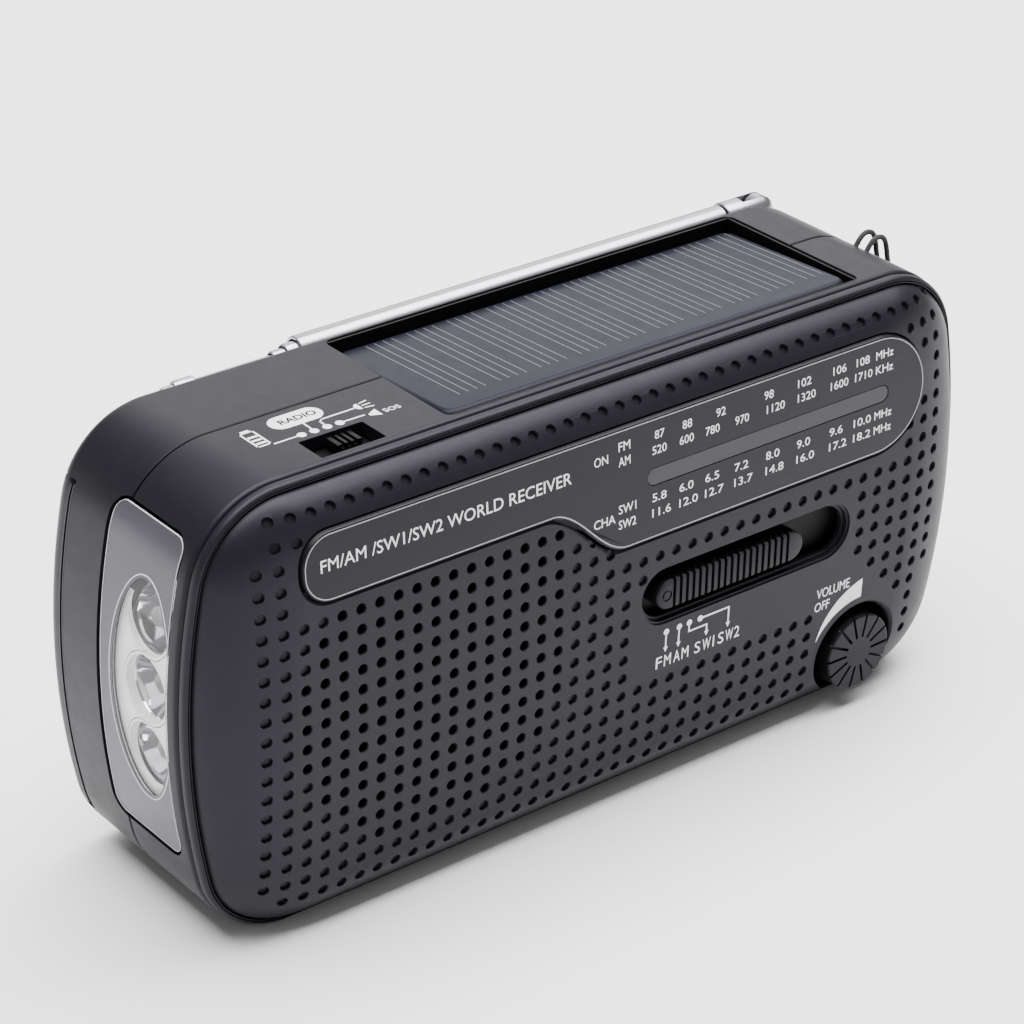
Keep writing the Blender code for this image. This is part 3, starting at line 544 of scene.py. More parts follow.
def woven(name, colour, size):
    """Braided cord: two crossing wave patterns in relief."""
    material = finish(name, colour, 0.8, scuffs=0.02)
    tree = material.node_tree
    braid = tree.nodes.new("ShaderNodeMath")
    braid.operation = "MAXIMUM"
    for socket, turn in zip(braid.inputs, (0.8, -0.8)):
        vector = mapped(tree, rotation=(turn, turn, turn))
        wave = add_node(tree, "TexWave", {"Vector": vector, "Scale": 1 / (size * MM * 3)})
        feed(tree, socket, wave.outputs["Fac"])
    bump = next(node for node in tree.nodes if node.type == "BUMP")
    feed(tree, bump.inputs["Height"], braid.outputs[0])
    feed(tree, bump.inputs["Distance"], 0.08 * MM)
    striped = blend(tree, braid.outputs[0], shade(colour, 0.4), shade(colour, 1.4))
    feed(tree, tree.nodes["Principled BSDF"].inputs["Base Color"], striped)
    return material


TINT = (0.88, 0.84, 1.0, 1.0)
SATIN = {"Specular IOR Level": 0.205, "Specular Tint": TINT}
DULL = {"Specular IOR Level": 0.175, "Specular Tint": TINT}
CASE = finish("case_plastic", (0.0072, 0.0066, 0.0092), 0.42, fixed=DULL)
# Lighter plastic for thin strips along the battery door's edges: a painted highlight of those edges.
DOOR_HIGHLIGHT = finish("painted_door_highlight", (0.06, 0.057, 0.066), 0.4, fixed=SATIN)
COVER = finish("cover_plastic", (0.0072, 0.0066, 0.0092), 0.44, fixed=SATIN)
DIAL = finish("dial_plastic", (0.006, 0.0056, 0.0068), 0.36, grain=0.5, depth=0.002, mottle=0.05, fixed=SATIN)
BLACK = finish("black_plastic", (0.003, 0.003, 0.0033), 0.5, fixed={"Specular IOR Level": 0.12})
FROSTED = finish("frosted_window", (0.045, 0.044, 0.048), 0.45, grain=0.15, fixed=SATIN)
WHITE = finish("white_plastic", (0.85, 0.85, 0.86), 0.25, grain=0.5, depth=0.003, mottle=0.03)
PAINT = finish("white_print", (0.82, 0.82, 0.83), 0.55, grain=0.12, depth=0.004, mottle=0.03)
KNOB = finish("knob_plastic", (0.005, 0.0048, 0.0057), 0.48, fixed=SATIN)
# A light grey line round the dial plate: a painted highlight of its edge.
DIAL_HIGHLIGHT = finish("painted_dial_highlight", (0.3, 0.3, 0.31), 0.5, grain=0.12, depth=0.003)
CELL = finish("solar_cell", (0.008, 0.0082, 0.0145), 0.36, grain=0.5, depth=0.002, mottle=0.15,
              fixed={"Specular IOR Level": 0.1, "Specular Tint": (0.85, 0.85, 1.0, 1.0)})
CELL_LINE = finish("cell_lines", (0.2, 0.2, 0.22), 0.35, metallic=0.3, grain=0.1, depth=0.002)
LENS_PLATE = finish("lens_plate", (0.05, 0.048, 0.057), 0.3, grain=0.6, depth=0.0004, mottle=0.03, scuffs=0.0,
                    fixed={"Specular IOR Level": 0.4, "Specular Tint": TINT})
# Light grey strips round the lamp window's oval and along the lens plate's border: painted highlights of
# their edges.
LENS_HIGHLIGHT = finish("painted_lens_highlight", (0.62, 0.62, 0.64), 0.25, grain=0.4, depth=0.001)
CLEAR = finish("clear_lens", (0.9, 0.9, 0.92), 0.05, grain=2.0, depth=0.001, mottle=0.02, scuffs=0.0,
               fixed={"Alpha": 0.05})
BRIGHT = finish("reflector_metal", (0.62, 0.62, 0.64), 0.08, metallic=1.0, grain=0.8, depth=0.004)
LED = finish("led_lens", (0.86, 0.86, 0.84), 0.08, grain=0.8, depth=0.003,
             fixed={"Transmission Weight": 0.6, "IOR": 1.4})
CHROME = finish("antenna_chrome", (0.4, 0.39, 0.43), 0.3, metallic=1.0, grain=0.6, depth=0.0004,
                mottle=0.03, scuffs=0.0, stretch=(0.04, 1, 1))
STEEL = finish("steel", (0.5, 0.5, 0.52), 0.34, metallic=1.0, grain=0.3, depth=0.002)
BRASS = finish("brass", (0.68, 0.47, 0.2), 0.3, metallic=1.0, grain=0.3, depth=0.002)
COPPER = finish("copper_winding", (0.6, 0.27, 0.14), 0.4, metallic=1.0, grain=0.3, depth=0.03,
                stretch=(1, 0.1, 1))
BOARD = finish("circuit_board", (0.015, 0.12, 0.045), 0.4, grain=1.2, depth=0.01, mottle=0.3)
PAPER = finish("speaker_paper", (0.012, 0.012, 0.012), 0.9, grain=0.4, depth=0.03)
FERRITE = finish("ferrite", (0.03, 0.03, 0.032), 0.6, grain=0.4, depth=0.01)
RUBBER = finish("rubber", (0.009, 0.0085, 0.0105), 0.65, grain=0.3, depth=0.01, fixed=SATIN)
NYLON = finish("gear_nylon", (0.66, 0.65, 0.6), 0.45)
WRAP = finish("battery_wrap", (0.03, 0.12, 0.24), 0.35, grain=0.6, depth=0.003)
POINTER = finish("pointer_paint", (0.6, 0.08, 0.02), 0.5)
CORD = woven("braided_cord", (0.02, 0.02, 0.022), 0.3)


# ---- camera, light and floor

def add_camera():
    data = bpy.data.cameras.new("camera")
    data.lens = CAMERA_LENS
    data.sensor_width = 36
    camera = add_object("camera", data)
    camera.location = tuple(c * MM for c in CAMERA_PLACE)
    camera.rotation_euler = tuple(radians(a) for a in CAMERA_TURN)
    bpy.context.scene.camera = camera


def add_light(name, spot, target, size, power):
    """A rectangular light, in metres and watts, that faces a target."""
    data = bpy.data.lights.new(name, "AREA")
    data.shape = "RECTANGLE"
    data.size, data.size_y = size
    data.energy = power
    light = add_object(name, data)
    light.location = spot
    aim = Vector(target) - Vector(spot)
    light.rotation_euler = aim.to_track_quat("-Z", "Y").to_euler()


def add_studio():
    world = bpy.data.worlds.new("studio")
    world.use_nodes = True
    background = world.node_tree.nodes["Background"]
    background.inputs["Color"].default_value = (1, 1, 1, 1)
    background.inputs["Strength"].default_value = 0.35
    bpy.context.scene.world = world
    add_light("overhead", (0.3, 0.1, 1.8), (0.3, 0.1, 0), (2.6, 1.4), 150)
    add_light("rear_panel", (0.66, 0.96, 0.66), (0, 0, 0.04), (1.3, 0.62), 7.6)
    floor_shape = bmesh.new()
    reach = 4000
    corners = [(-reach, -reach), (reach, -reach), (reach, reach), (-reach, reach)]
    floor_shape.faces.new([floor_shape.verts.new((x, y, 0)) for x, y in corners])
    paper = finish("floor_paper", (0.93, 0.93, 0.93), 0.7, mottle=0.01, grain=1.0, depth=0.004, scuffs=0.0)
    add_mesh("floor", floor_shape, paper)


# ---- wrist strap

def strap_fall(y):
    """One strand out of its hole, over the corner in a small arch and down the right end."""
    arch = [(68.2, 71.2), (69.0, 72.3), (69.6, 73.1), (70.4, 73.75), (71.4, 73.95), (72.3, 73.65),
            (72.95, 72.9), (73.35, 71.8)]
    fall = [(73.75, 70.0), (74.3, 67.6), (75.6, 63.2), (76.7, 58.0), (78.2, 46.0)]
    return [(x, y, z) for x, z in arch + fall]


def strap_route():
    """The whole loop: down one strand, round behind the case along the ground, and back up the other."""
    near, far = STRAND_Y
    landing = [(78.5, near, 14.0), (78.5, near + 1.0, 5.2), (78.5, near + 4.4, 1.35),
               (78.5, near + 9.4, 0.62)]
    ground = [(76.5, 23.0), (67.0, 31.6), (44.0, 33.8), (27.0, 34.2), (22.7, 34.85), (20.8, 36.2),
              (20.8, 37.7), (22.7, 39.05), (27.0, 39.7), (44.0, 39.8), (67.0, 38.2), (79.4, 31.0)]
    rise = [(83.2, 16.0, 0.62), (81.8, far + 4.4, 1.35), (80.2, far + 1.0, 5.2), (78.9, far, 14.0)]
    lying = [(x, y, LYING) for x, y in ground]
    return strap_fall(near) + landing + lying + rise + strap_fall(far)[::-1]


def smooth_route(points, between):
    """A smooth curve through the points, with extra points between each two. Its pace follows the distance
    between points, so uneven spacing gives no loops."""
    points = [Vector(point) for point in points]
    ends = [2 * points[0] - points[1]] + points + [2 * points[-1] - points[-2]]
    route = [points[0]]
    for a, b, c, d in zip(ends, ends[1:], ends[2:], ends[3:]):
        before, along, after = (sqrt((q - p).length) for p, q in ((a, b), (b, c), (c, d)))
        leave = c - b + along * ((b - a) / before - (c - a) / (before + along))
        reach = c - b + along * ((d - c) / after - (d - b) / (along + after))
        for step in range(1, between + 2):
            t = step / (between + 1)
            route.append(b + leave * t + (3 * (c - b) - 2 * leave - reach) * t ** 2
                         + (2 * (b - c) + leave + reach) * t ** 3)
    return route


def make_strap():
    curve = bpy.data.curves.new("strap_cord", "CURVE")
    curve.dimensions = "3D"
    curve.bevel_depth = CORD_RADIUS * MM
    curve.bevel_resolution = 4
    curve.use_fill_caps = True
    route = smooth_route(strap_route(), between=4)
    spline = curve.splines.new("POLY")
    spline.points.add(len(route) - 1)
    for point, spot in zip(spline.points, route):
        point.co = (*(spot * MM), 1)
    curve.materials.append(CORD)
    obj = add_object("strap_cord", curve)
    piece(obj, "case", "wrist_strap_cord")


# ---- front cover

def pattern_places():
    """(x, z, open) of each hole in the front."""
    for row, spans in ROWS.items():
        first_open, last_open = THROUGH.get(row, (1, 0))
        for first, last in spans:
            for column in range(first, last + 1):
                x = COLUMN_ZERO_X + PITCH * column
                z = ROW_ZERO_Z - PITCH * row
                yield x, z, first_open <= column <= last_open


def pattern_cutters(cover):
    """Cutters of the hole pattern, each square to the cover's surface."""
    mesh = cover.data
    tree = BVHTree.FromPolygons([v.co / MM for v in mesh.vertices], [list(p.vertices) for p in mesh.polygons])
    bm = bmesh.new()
    for x, z, is_open in pattern_places():
        centre, normal, _, _ = tree.ray_cast(Vector((x, -60, z)), Vector((0, 1, 0)))
        if centre is None:
            continue
        across = normal.cross(Vector((0, 0, 1))).normalized()
        up = across.cross(normal)
        rings = []
        for radius, depth in OPEN_HOLE if is_open else BLIND_HOLE:
            middle = centre - normal * depth
            rings.append([middle + across * a + up * b for a, b in circle(radius, 18)])
        loft(rings, bm=bm)
    return bm


def face_ring(outline, steps):
    """A closed ring that follows the curved front. steps are (grow, depth behind the face)."""
    rings = []
    for grow, depth in steps:
        rings.append([(x, FACE_Y + barrel(z) + depth, z) for x, z in outline(grow)])
    return loft(rings, closed=True)


def well_outline(grow):
    return circle(VOLUME_WELL_RADIUS + grow, 72, VOLUME_CENTRE)


def make_cover():
    outside = [(0, more) for more in (27.5, *range(24, 0, -3))]
    outside += [(i / 14, 0) for i in range(14)] + [(0.965, 0), (1.0, 0)]
    rings = [cover_ring(edge, more, 0) for edge, more in outside]
    rim_y = COVER_EDGE_Y + 0.7
    rings += [[(x, rim_y, z) for x, z in inset_outline(COVER_INSET + inset)] for inset in (0, WALL)]
    inside = [(edge, more) for edge, more in outside if edge <= 0.6]
    rings += [cover_ring(edge, more, WALL) for edge, more in reversed(inside)]
    cover = add_mesh("cover", loft(rings), COVER)
    holes = pattern_cutters(cover)
    dial_hole = on_face(dial_outline, [(0.75, -3), (0.75, -0.05), (0.3, 0.35), (0.3, 8)])
    slot_steps = [(0.45, -3), (0.45, 0.35), (0.05, 0.37), (0.05, 1.1), (-0.5, 1.12), (-0.5, 6)]
    slot_hole = on_face(grown_stadium(SLOT, 28), slot_steps)
    well = on_face(well_outline, [(0.8, -3), (0.8, -0.1), (0.35, 0.2), (0, 0.7), (0, 11)])
    carve(cover, holes, dial_hole, slot_hole, well)
    piece(cover, "case", "front_cover")
    even_face(cover)


def make_trim():
    wide_bead = [(0.3, -14.1), (0.3, -14.7), (0.38, -15.05), (0.55, -15.3), (0.75, -15.45), (0.95, -15.5),
                 (1.0, -15.4), (1.0, -14.9)]
    narrow_bead = [(1.12, -14.9), (1.12, -15.4), (1.18, -15.5), (1.3, -15.5), (1.4, -15.35), (1.42, -15.1),
                   (1.42, -14.1)]
    make_piece("trim", case_ring(wide_bead + narrow_bead), COVER, "case", "trim_ring")


# ---- shells

def solar_opening():
    return stack(grown_rectangle(SOLAR, 1.6), [(0, 68), (0, 74.9), (0.12, 75.03), (0.12, 80)], "Z")


def lens_cutter(grow, radius=3.0):
    """Cuts across the left end along the lens's outline."""
    return prism(rounded_rectangle(LENS, radius + grow, grow, 10), -90, -60, "X")


def make_front_shell():
    lip = 4.5
    back = PARTING_Y - PARTING_GAP / 2
    steps = [(0.75, -13.8), (0.45, -13.72), (0.2, -13.5), (0.05, -13.2), (0, -12.9), (0, back - 0.2),
             (0.15, back), (WALL, back), (WALL, -12.3), (lip, -12.3), (lip, -13.8)]
    switch_hole = stack(grown_rectangle(SWITCH, 0.15), [(0, 68), (0, 74.95), (0.06, 75.03), (0.06, 80)], "Z")
    cuts = [solar_opening(), lens_cutter(0.3), switch_hole, *strap_holes()]
    make_piece("shell_front", case_ring(steps), CASE, "case", "front_shell", cuts=cuts)


def strap_holes():
    """Flared holes for the cord's two strands, square to the upper right corner's round."""
    x, z = corner_centre(CASE_LENGTH / 2, CASE_HEIGHT / 2, END_RADIUS, CORNER_RADIUS)
    flare = [(0.75, -4), (0.75, -0.2), (1.1, 0.15), (1.1, 4)]
    profile = [(radius, CORNER_RADIUS + along) for radius, along in flare]
    holes = []
    for y in STRAND_Y:
        hole = turned(profile, (0, y), "Z", 24)
        holes.append(turn_about_y(hole, -STRAND_ANGLE, (x, z + CASE_HEIGHT / 2)))
    return holes


def rear_cup():
    """The rear half of the case as an open cup with a rounded back edge."""
    front = PARTING_Y + PARTING_GAP / 2
    steps = [(WALL, REAR_Y - WALL), (WALL, front), (0.15, front), (0, front + 0.2), (0, REAR_Y - REAR_ROUND)]
    steps += arc((REAR_ROUND, REAR_Y - REAR_ROUND), REAR_ROUND, 170, 90, 8)
    return case_ring(steps, closed=False)


def door_outline(grow):
    """The door's edge from behind. It runs off the case's left end."""
    inner_x, _, low, high = DOOR
    return rounded_rectangle((-90, inner_x, low, high), 1.0 + grow, grow)


def door_line(name, body, inset, low_y, high_y, trim):
    """A thin line in lighter plastic on the case's left end, along the door's edge: a painted highlight."""
    line = add_mesh(name, case_band(*inset, low_y, high_y), DOOR_HIGHLIGHT)
    keep(line, box((-90, 0, DOOR[2] + trim), (-60, 30, DOOR[3] - trim)))
    piece(line, body)


def rear_cuts():
    """The rear shell's openings: crank dish, top, both ends, door, sockets and screws."""
    rim_radius = DISH_RADIUS + 0.5
    rim = [(DISH_RADIUS, DISH_FLOOR_Y), (DISH_RADIUS, REAR_Y - 0.5), (rim_radius, REAR_Y + 0.02),
           (rim_radius, 30)]
    ring = [(DISH_RADIUS - 5, DISH_FLOOR_Y - 0.3), (DISH_RADIUS - 3.8, DISH_FLOOR_Y - 0.3),
            (DISH_RADIUS - 3.5, DISH_FLOOR_Y + 1), (DISH_RADIUS - 5.3, DISH_FLOOR_Y + 1)]
    port_steps = [(0, REAR_Y - 1.2), (0, REAR_Y - 0.15), (0.2, REAR_Y + 0.02), (0.2, 30)]
    x0, x1, z0, z1 = CHARGE_OPENING
    screw_hole = [(1.7, 15), (1.7, 20.7), (3.1, 20.7), (3.1, 21.7), (3.4, REAR_Y + 0.02), (3.4, 25)]
    return [
        turned(rim, DISH_CENTRE, sides=96),
        rod(2.4, DISH_CENTRE, 5, 15),
        solar_opening(),
        lens_cutter(0.3),
        turned(ring, DISH_CENTRE, sides=96, closed=True),
        prism(door_outline(0.8), DOOR[1] - 0.8, 30),
        prism(rounded_rectangle(WHEEL_OPENING, 1.2), 70, 90, "X"),
        stack(grown_rectangle(PORT, 1.0), port_steps),
        box((x0, 15, z0), (x1, 25, z1)),
        rod(3.9, EARPHONE_CENTRE, 15, 25),
        *(turned(screw_hole, spot, sides=40) for spot in SCREW_PLACES),
    ]


def make_rear_shell():
    shell = add_mesh("shell_rear", rear_cup(), CASE)
    join(shell, rod(DISH_RADIUS + 1.5, DISH_CENTRE, DISH_FLOOR_Y - WALL, REAR_Y - 1, sides=96))
    carve(shell, *rear_cuts())
    piece(shell, "case", "rear_shell")
    # The lip in the door's groove carries a painted highlight.
    door_line("door_lip_highlight", "case", (0.12, 1.6), DOOR[1] - 0.5, DOOR[1] - 0.28, 0)


def make_door():
    door = add_mesh("door", rear_cup(), CASE)
    steps = [(0, DOOR[1]), (0, REAR_Y - 0.35), (-0.3, REAR_Y + 0.02), (-0.3, 30)]
    keep(door, stack(door_outline, steps))
    grooves = [soft_box((-58 + 1.6 * i, 21.5, 33), (-57.1 + 1.6 * i, 23, 46), 0.2) for i in range(8)]
    arrow = prism([(-66, 39.5), (-62.5, 42), (-62.5, 37)], 21.6, 23)
    carve(door, *grooves, arrow)
    piece(door, "door", "battery_door")
    # A painted highlight along the door's own edge.
    door_line("door_rim_highlight", "door", (-0.03, 0.5), DOOR[1] + 0.01, DOOR[1] + 0.16, 0.05)


# ---- dial

def make_dial():
    panel_steps = [(-0.25, DIAL_FRONT), (-0.08, DIAL_FRONT + 0.07), (0, DIAL_FRONT + 0.25), (0, 1.2)]
    window = grown_stadium(WINDOW)
    opening = on_face(window, [(0.12, -2), (0.12, 4)])
    panel = on_face(dial_outline, panel_steps)
    even_face(make_piece("dial", panel, DIAL, "case", "dial_panel", cuts=[opening]))
    low, high = DIAL_FRONT + 0.02, DIAL_FRONT - 0.02
    # A light line just inside the dial plate's edge: a painted highlight of that edge.
    line = face_ring(dial_outline, [(-0.46, low), (-0.46, high), (-0.3, high), (-0.3, low)])
    make_piece("dial_highlight_line", line, DIAL_HIGHLIGHT, "case")
    glass = on_face(window, [(-0.05, -0.36), (0.04, -0.28), (0.04, 0.9)])
    make_piece("dial_glass", glass, FROSTED, "case", "dial_window")


# ---- printing

def lettering(text, left, base, height, right, weight=0.0):
    """Letters as a thin plate in the X-Z plane, stretched to their height and from left to right."""
    curve = bpy.data.curves.new("letters", "FONT")
    curve.body = text
    curve.offset = weight
    curve.extrude = PRINT
    curve.resolution_u = 3
    obj = add_object("letters", curve)
    graph = bpy.context.evaluated_depsgraph_get()
    mesh = bpy.data.meshes.new_from_object(obj.evaluated_get(graph))
    bpy.data.objects.remove(obj)
    bm = bmesh.new()
    bm.from_mesh(mesh)
    bpy.data.meshes.remove(mesh)
    bmesh.ops.remove_doubles(bm, verts=bm.verts, dist=1e-5)
    low = [min(vert.co[i] for vert in bm.verts) for i in (0, 1)]
    high = [max(vert.co[i] for vert in bm.verts) for i in (0, 1)]
    up = height / (high[1] - low[1])
    across = (right - left) / (high[0] - low[0])
    for vert in bm.verts:
        x, z, depth = vert.co
        vert.co = (left + (x - low[0]) * across, -depth, base + (z - low[1]) * up)
    return bm


def bar(x0, z0, x1, z1, width=STROKE):
    """A thin straight stroke in the X-Z plane."""
    along = Vector((x1 - x0, z1 - z0)).normalized() * width / 2
    side = Vector((-along.y, along.x))
    a, b = Vector((x0, z0)) - along, Vector((x1, z1)) + along
    return prism([tuple(a - side), tuple(b - side), tuple(b + side), tuple(a + side)], -PRINT, PRINT)


def stroke(points):
    """Bars from point to point."""
    return [bar(*a, *b) for a, b in zip(points, points[1:])]


def dot(x, z, radius):
    return prism(circle(radius, 28, (x, z)), -1.3 * PRINT, PRINT)


def patch(points):
    return prism(points, -PRINT, PRINT)


def on_front(name, shapes, depth):
    """Puts printing on the curved front, at a depth behind the face."""
    bm = gathered(shapes)
    for vert in bm.verts:
        vert.co.y += FACE_Y + barrel(vert.co.z) + depth - PRINT
    make_piece(name, bm, PAINT, "case")


def on_top(name, shapes, material=PAINT, lift=0.0):
    """Lays printing flat on the top."""
    bm = gathered(shapes)
    for vert in bm.verts:
        x, y, z = vert.co
        vert.co = (x, z, CASE_HEIGHT + PRINT + lift - y)
    make_piece(name, bm, material, "case")


def print_dial():
    label_x = -2.2
    seven = (5.0, 10.6, 17.5, 27.5, 34.6, 42.2, 47.3)
    eight = (4.5, 10.0, 15.3, 21.4, 28.0, 34.6, 41.7, 47.0)
    scales = (
        ("FM", 64.85, "87 88 92 98 102 106 108", seven, "MHz"),
        ("AM", 62.35, "520 600 780 970 1120 1320 1600 1710", eight, "KHz"),
        ("SW1", 54.35, "5.8 6.0 6.5 7.2 8.0 9.0 9.6 10.0", eight, "MHz"),
        ("SW2", 51.75, "11.6 12.0 12.7 13.7 14.8 16.0 17.2 18.2", eight, "MHz"),
    )
    shapes = [lettering("FM/AM /SW1/SW2 WORLD RECEIVER", -57.3, 62.4, 2.0, -11.4)]
    for label, base, values, places, unit in scales:
        shapes.append(lettering(label, label_x, base, 1.5, label_x + 1.15 * len(label)))
        for value, x in zip(values.split(), places):
            shapes.append(lettering(value, x, base, 1.4, x + 0.95 * len(value)))
        shapes.append(lettering(unit, 51.6, base, 1.4, 55.4))
    shapes.append(lettering("ON", -7.0, 63.6, 1.5, -4.3))
    shapes.append(lettering("CHA", -7.1, 53.2, 1.5, -2.9))
    on_front("dial_print", shapes, DIAL_FRONT)


def volume_wedge():
    """The curved wedge beside the volume knob, which widens towards its top."""
    x, z = WEDGE_CENTRE
    inner = arc(WEDGE_CENTRE, WEDGE_RADIUS, 152, 90, 32)
    outer = []
    for step in range(33):
        angle = radians(152 - 62 * step / 32)
        radius = WEDGE_RADIUS + WEDGE_WIDTH * step / 32
        outer.append((x + radius * cos(angle), z + radius * sin(angle)))
    return patch(inner + outer[:0:-1])


def print_cover():
    top, low = 29.8, 26.6
    shapes = [dot(x, top, 0.55) for x in (8.7, 11.4, 13.5, 15.8)]
    for x in (8.7, 11.4):
        shapes += stroke([(x, top), (x, low)])
    shapes += stroke([(13.5, top), (13.5, 28.2), (17.3, 28.2), (17.3, low)])
    shapes += stroke([(15.8, top), (21.9, top), (21.9, low)])
    for x in (8.7, 11.4, 17.3, 21.9):
        shapes.append(patch([(x - 0.45, 27.0), (x + 0.45, 27.0), (x, 26.1)]))
    shapes += [lettering(letter, left, 23.4, 2.1, right) for letter, left, right in COVER_LETTERS]
    shapes.append(lettering("VOLUME", 41.6, 24.2, 1.8, 49.0))
    shapes.append(lettering("OFF", 41.4, 21.7, 1.75, 44.7))
    shapes.append(volume_wedge())
    on_front("cover_print", shapes, 0)


def print_top():
    """Four switch positions with lines to a battery, RADIO, a torch and a siren."""
    dots = ((-48.6, -4.75), (-46.4, -4.8), (-44.1, -4.8), (-41.9, -4.9))
    lines = (
        [(-53.3, -4.75), dots[0]],
        [dots[1], (-46.3, -1.9)],
        [dots[2], (-44.0, -2.9), (-43.4, -2.35), (-37.6, -2.3)],
        [dots[3], (-37.6, -4.95)],
        [(-55.9, -4.3), (-53.7, -4.3), (-53.7, 0.5), (-55.9, 0.5), (-55.9, -4.3)],
    )
    shapes = [dot(x, y, 0.72) for x, y in dots]
    for line in lines:
        shapes += stroke(line)
    shapes.append(patch(stadium((-50.9, -41.7, -1.8, 2.2))))
    shapes.append(bar(-55.3, 0.9, -54.3, 0.9, 0.5))
    shapes += [bar(-55.4, -3.4 + 1.1 * i, -54.2, -3.4 + 1.1 * i, 0.5) for i in range(3)]
    shapes.append(patch(arc((-36.4, -2.2), 0.95, 90, 270, 16)))
    shapes += [bar(-35.9, -2.2 + rise, -34.6, -2.2 + rise * 1.3, 0.22) for rise in (-0.8, 0.0, 0.8)]
    shapes.append(patch([(-36.9, -5.1), (-35.2, -4.2), (-35.2, -6.4), (-36.9, -5.6)]))
    shapes.append(lettering("SOS", -34.4, -6.1, 1.1, -31.5))
    on_top("top_print", shapes)
    on_top("top_print_radio", [lettering("RADIO", -49.2, -0.5, 1.45, -42.7, weight=0.02)], BLACK, 2 * PRINT)


# ---- front controls

def make_slider():
    steps = [(-0.4, -22.2), (-0.15, -22.12), (0, -21.9), (0, -19.2)]
    cap = stack(grown_stadium(SLIDER, 16), steps)
    first, last, count = RIBS
    pitch = (last - first) / count
    centres = [first + pitch * (i - 0.5) for i in range(count + 2)]
    grooves = [box((x - 0.3, -23, 30), (x + 0.3, -20.9, 45)) for x in centres]
    ring = turned([(0.7, -23), (1.0, -23), (1.0, -22.0), (0.7, -22.0)], (8.3, 36.6), sides=28, closed=True)
    make_piece("slider_cap", cap, KNOB, "band_slider", "band_slider_cap", cuts=[gathered(grooves), ring])


def make_volume():
    radius = VOLUME_KNOB_RADIUS
    # The knob's side is in black plastic, darker than its face: painted shade for the well's shadow on it.
    side = [(VOLUME_KNOB_BASE, -15.8), (radius, -21.3), (2.6, -21.3)]
    make_piece("knob_volume", turned(side, VOLUME_CENTRE, sides=VOLUME_SLOTS), BLACK, "volume", "volume_knob",
               cuts=[rod(2.0, VOLUME_CENTRE, -20.5, -10)], sharp=radians(20))
    face = [(radius, -21.32), (radius, -21.95), (radius - 0.25, -22.15), (2.6, -22.25)]
    cap = add_mesh("knob_volume_face", turned(face, VOLUME_CENTRE, sides=84), KNOB)
    for i in range(VOLUME_SLOTS):
        slot = prism(stadium((2.7, 9, -0.24, 0.24), 0, 6), -30, -21.5)
        carve(cap, turn_about_y(slot, 2 * pi * i / VOLUME_SLOTS, VOLUME_CENTRE))
    piece(cap, "volume")


def make_function_switch():
    x = SWITCH_KNOB_X
    y0, y1 = SWITCH[2] + 0.3, SWITCH[3] - 0.3
    knob = soft_box((x - 2.2, y0, 73), (x + 2.2, y1, 74.5), 0.12)
    centres = (x - 1.1, x, x + 1.1)
    grooves = [box((centre - 0.3, y0 - 1, 73.7), (centre + 0.3, y1 + 1, 76)) for centre in centres]
    cuts = [gathered(grooves), box((x - 3, y0 - 1, 73.3), (x + 3, y0 + 2.3, 76))]
    make_piece("knob_function", knob, BLACK, "function_switch", "function_switch_knob", cuts=cuts)


# ---- solar panel

def solar_slope(bm, y0, y1):
    """Leans a flat shape back to the panel's slope, about its front edge."""
    for vert in bm.verts:
        vert.co.z -= SOLAR_FALL * (vert.co.y - y0) / (y1 - y0)
    return bm


def make_solar():
    x0, x1, y0, y1 = SOLAR
    x0, x1, y0, y1 = x0 + SOLAR_GAP, x1 - SOLAR_GAP, y0 + SOLAR_GAP, y1 - SOLAR_GAP
    make_piece("tray", box((x0, y0, 70.4), (x1, y1, 74.8)), BLACK, "case", "solar_tray",
               cuts=[box((x0 - 2, y0 + 0.3, 71.4), (x1 - 0.4, y1 - 0.4, 80))])
    front, back = y0 + 0.5, y1 - 0.9
    limits = (x0 + 0.05, x1 - 0.9, front, back)
    round_edge = arc((-1.3, 73.6), 1.3, 90, 0, 6)
    panel = stack(grown_rectangle(limits, 2.6), round_edge + [(0, 72.6)], "Z")
    make_piece("panel_solar", solar_slope(panel, front, back), CELL, "case", "solar_panel")
    lines = []
    x, end = CELL_LINES
    half = CELL_LINE_WIDTH / 2
    while x < end:
        lines.append(box((x - half, -7.2, 74.86), (x + half, back - 1.4, 74.92)))
        x += CELL_LINE_WIDE_PITCH if len(lines) % 4 == 0 else CELL_LINE_PITCH
    make_piece("solar_lines", solar_slope(gathered(lines), front, back), CELL_LINE, "case")


# ---- torch

def lens_part(name, outer, inner, material, cutter):
    """A thin part of the left end between two insets of the case, cut to shape."""
    part = add_mesh(name, case_band(outer, inner, -12, 9), material)
    keep(part, cutter)
    return part


def oval_prism(grow):
    """Cuts across the left end along the lamp window's oval."""
    return prism(oval(OVAL_HALF_WIDTH + grow, OVAL_HALF_HEIGHT + grow, OVAL_CENTRE), -90, -60, "X")


def make_lens():
    plate = lens_part("lens_plate", 0.25, 0.5, LENS_PLATE, lens_cutter(-0.45, 2.6))
    carve(plate, oval_prism(0))
    piece(plate, "case", "torch_lens")
    glass = lens_part("lens_window", 0.3, 0.5, CLEAR, lens_cutter(-0.6, 2.6))
    keep(glass, oval_prism(-0.05))
    piece(glass, "case")
    # A light ring round the oval window: a painted highlight of its rim.
    ring = lens_part("lens_ring_highlight", 0.17, 0.9, LENS_HIGHLIGHT, lens_cutter(-0.5, 2.6))
    keep(ring, oval_prism(0.67))
    carve(ring, oval_prism(0.5))
    piece(ring, "case")
    # A light strip along the plate's border: a painted highlight of its edge.
    border = lens_part("lens_border_highlight", 0.2, 0.32, LENS_HIGHLIGHT, lens_cutter(-0.35, 2.7))
    carve(border, lens_cutter(-0.44, 2.6))
    piece(border, "case")


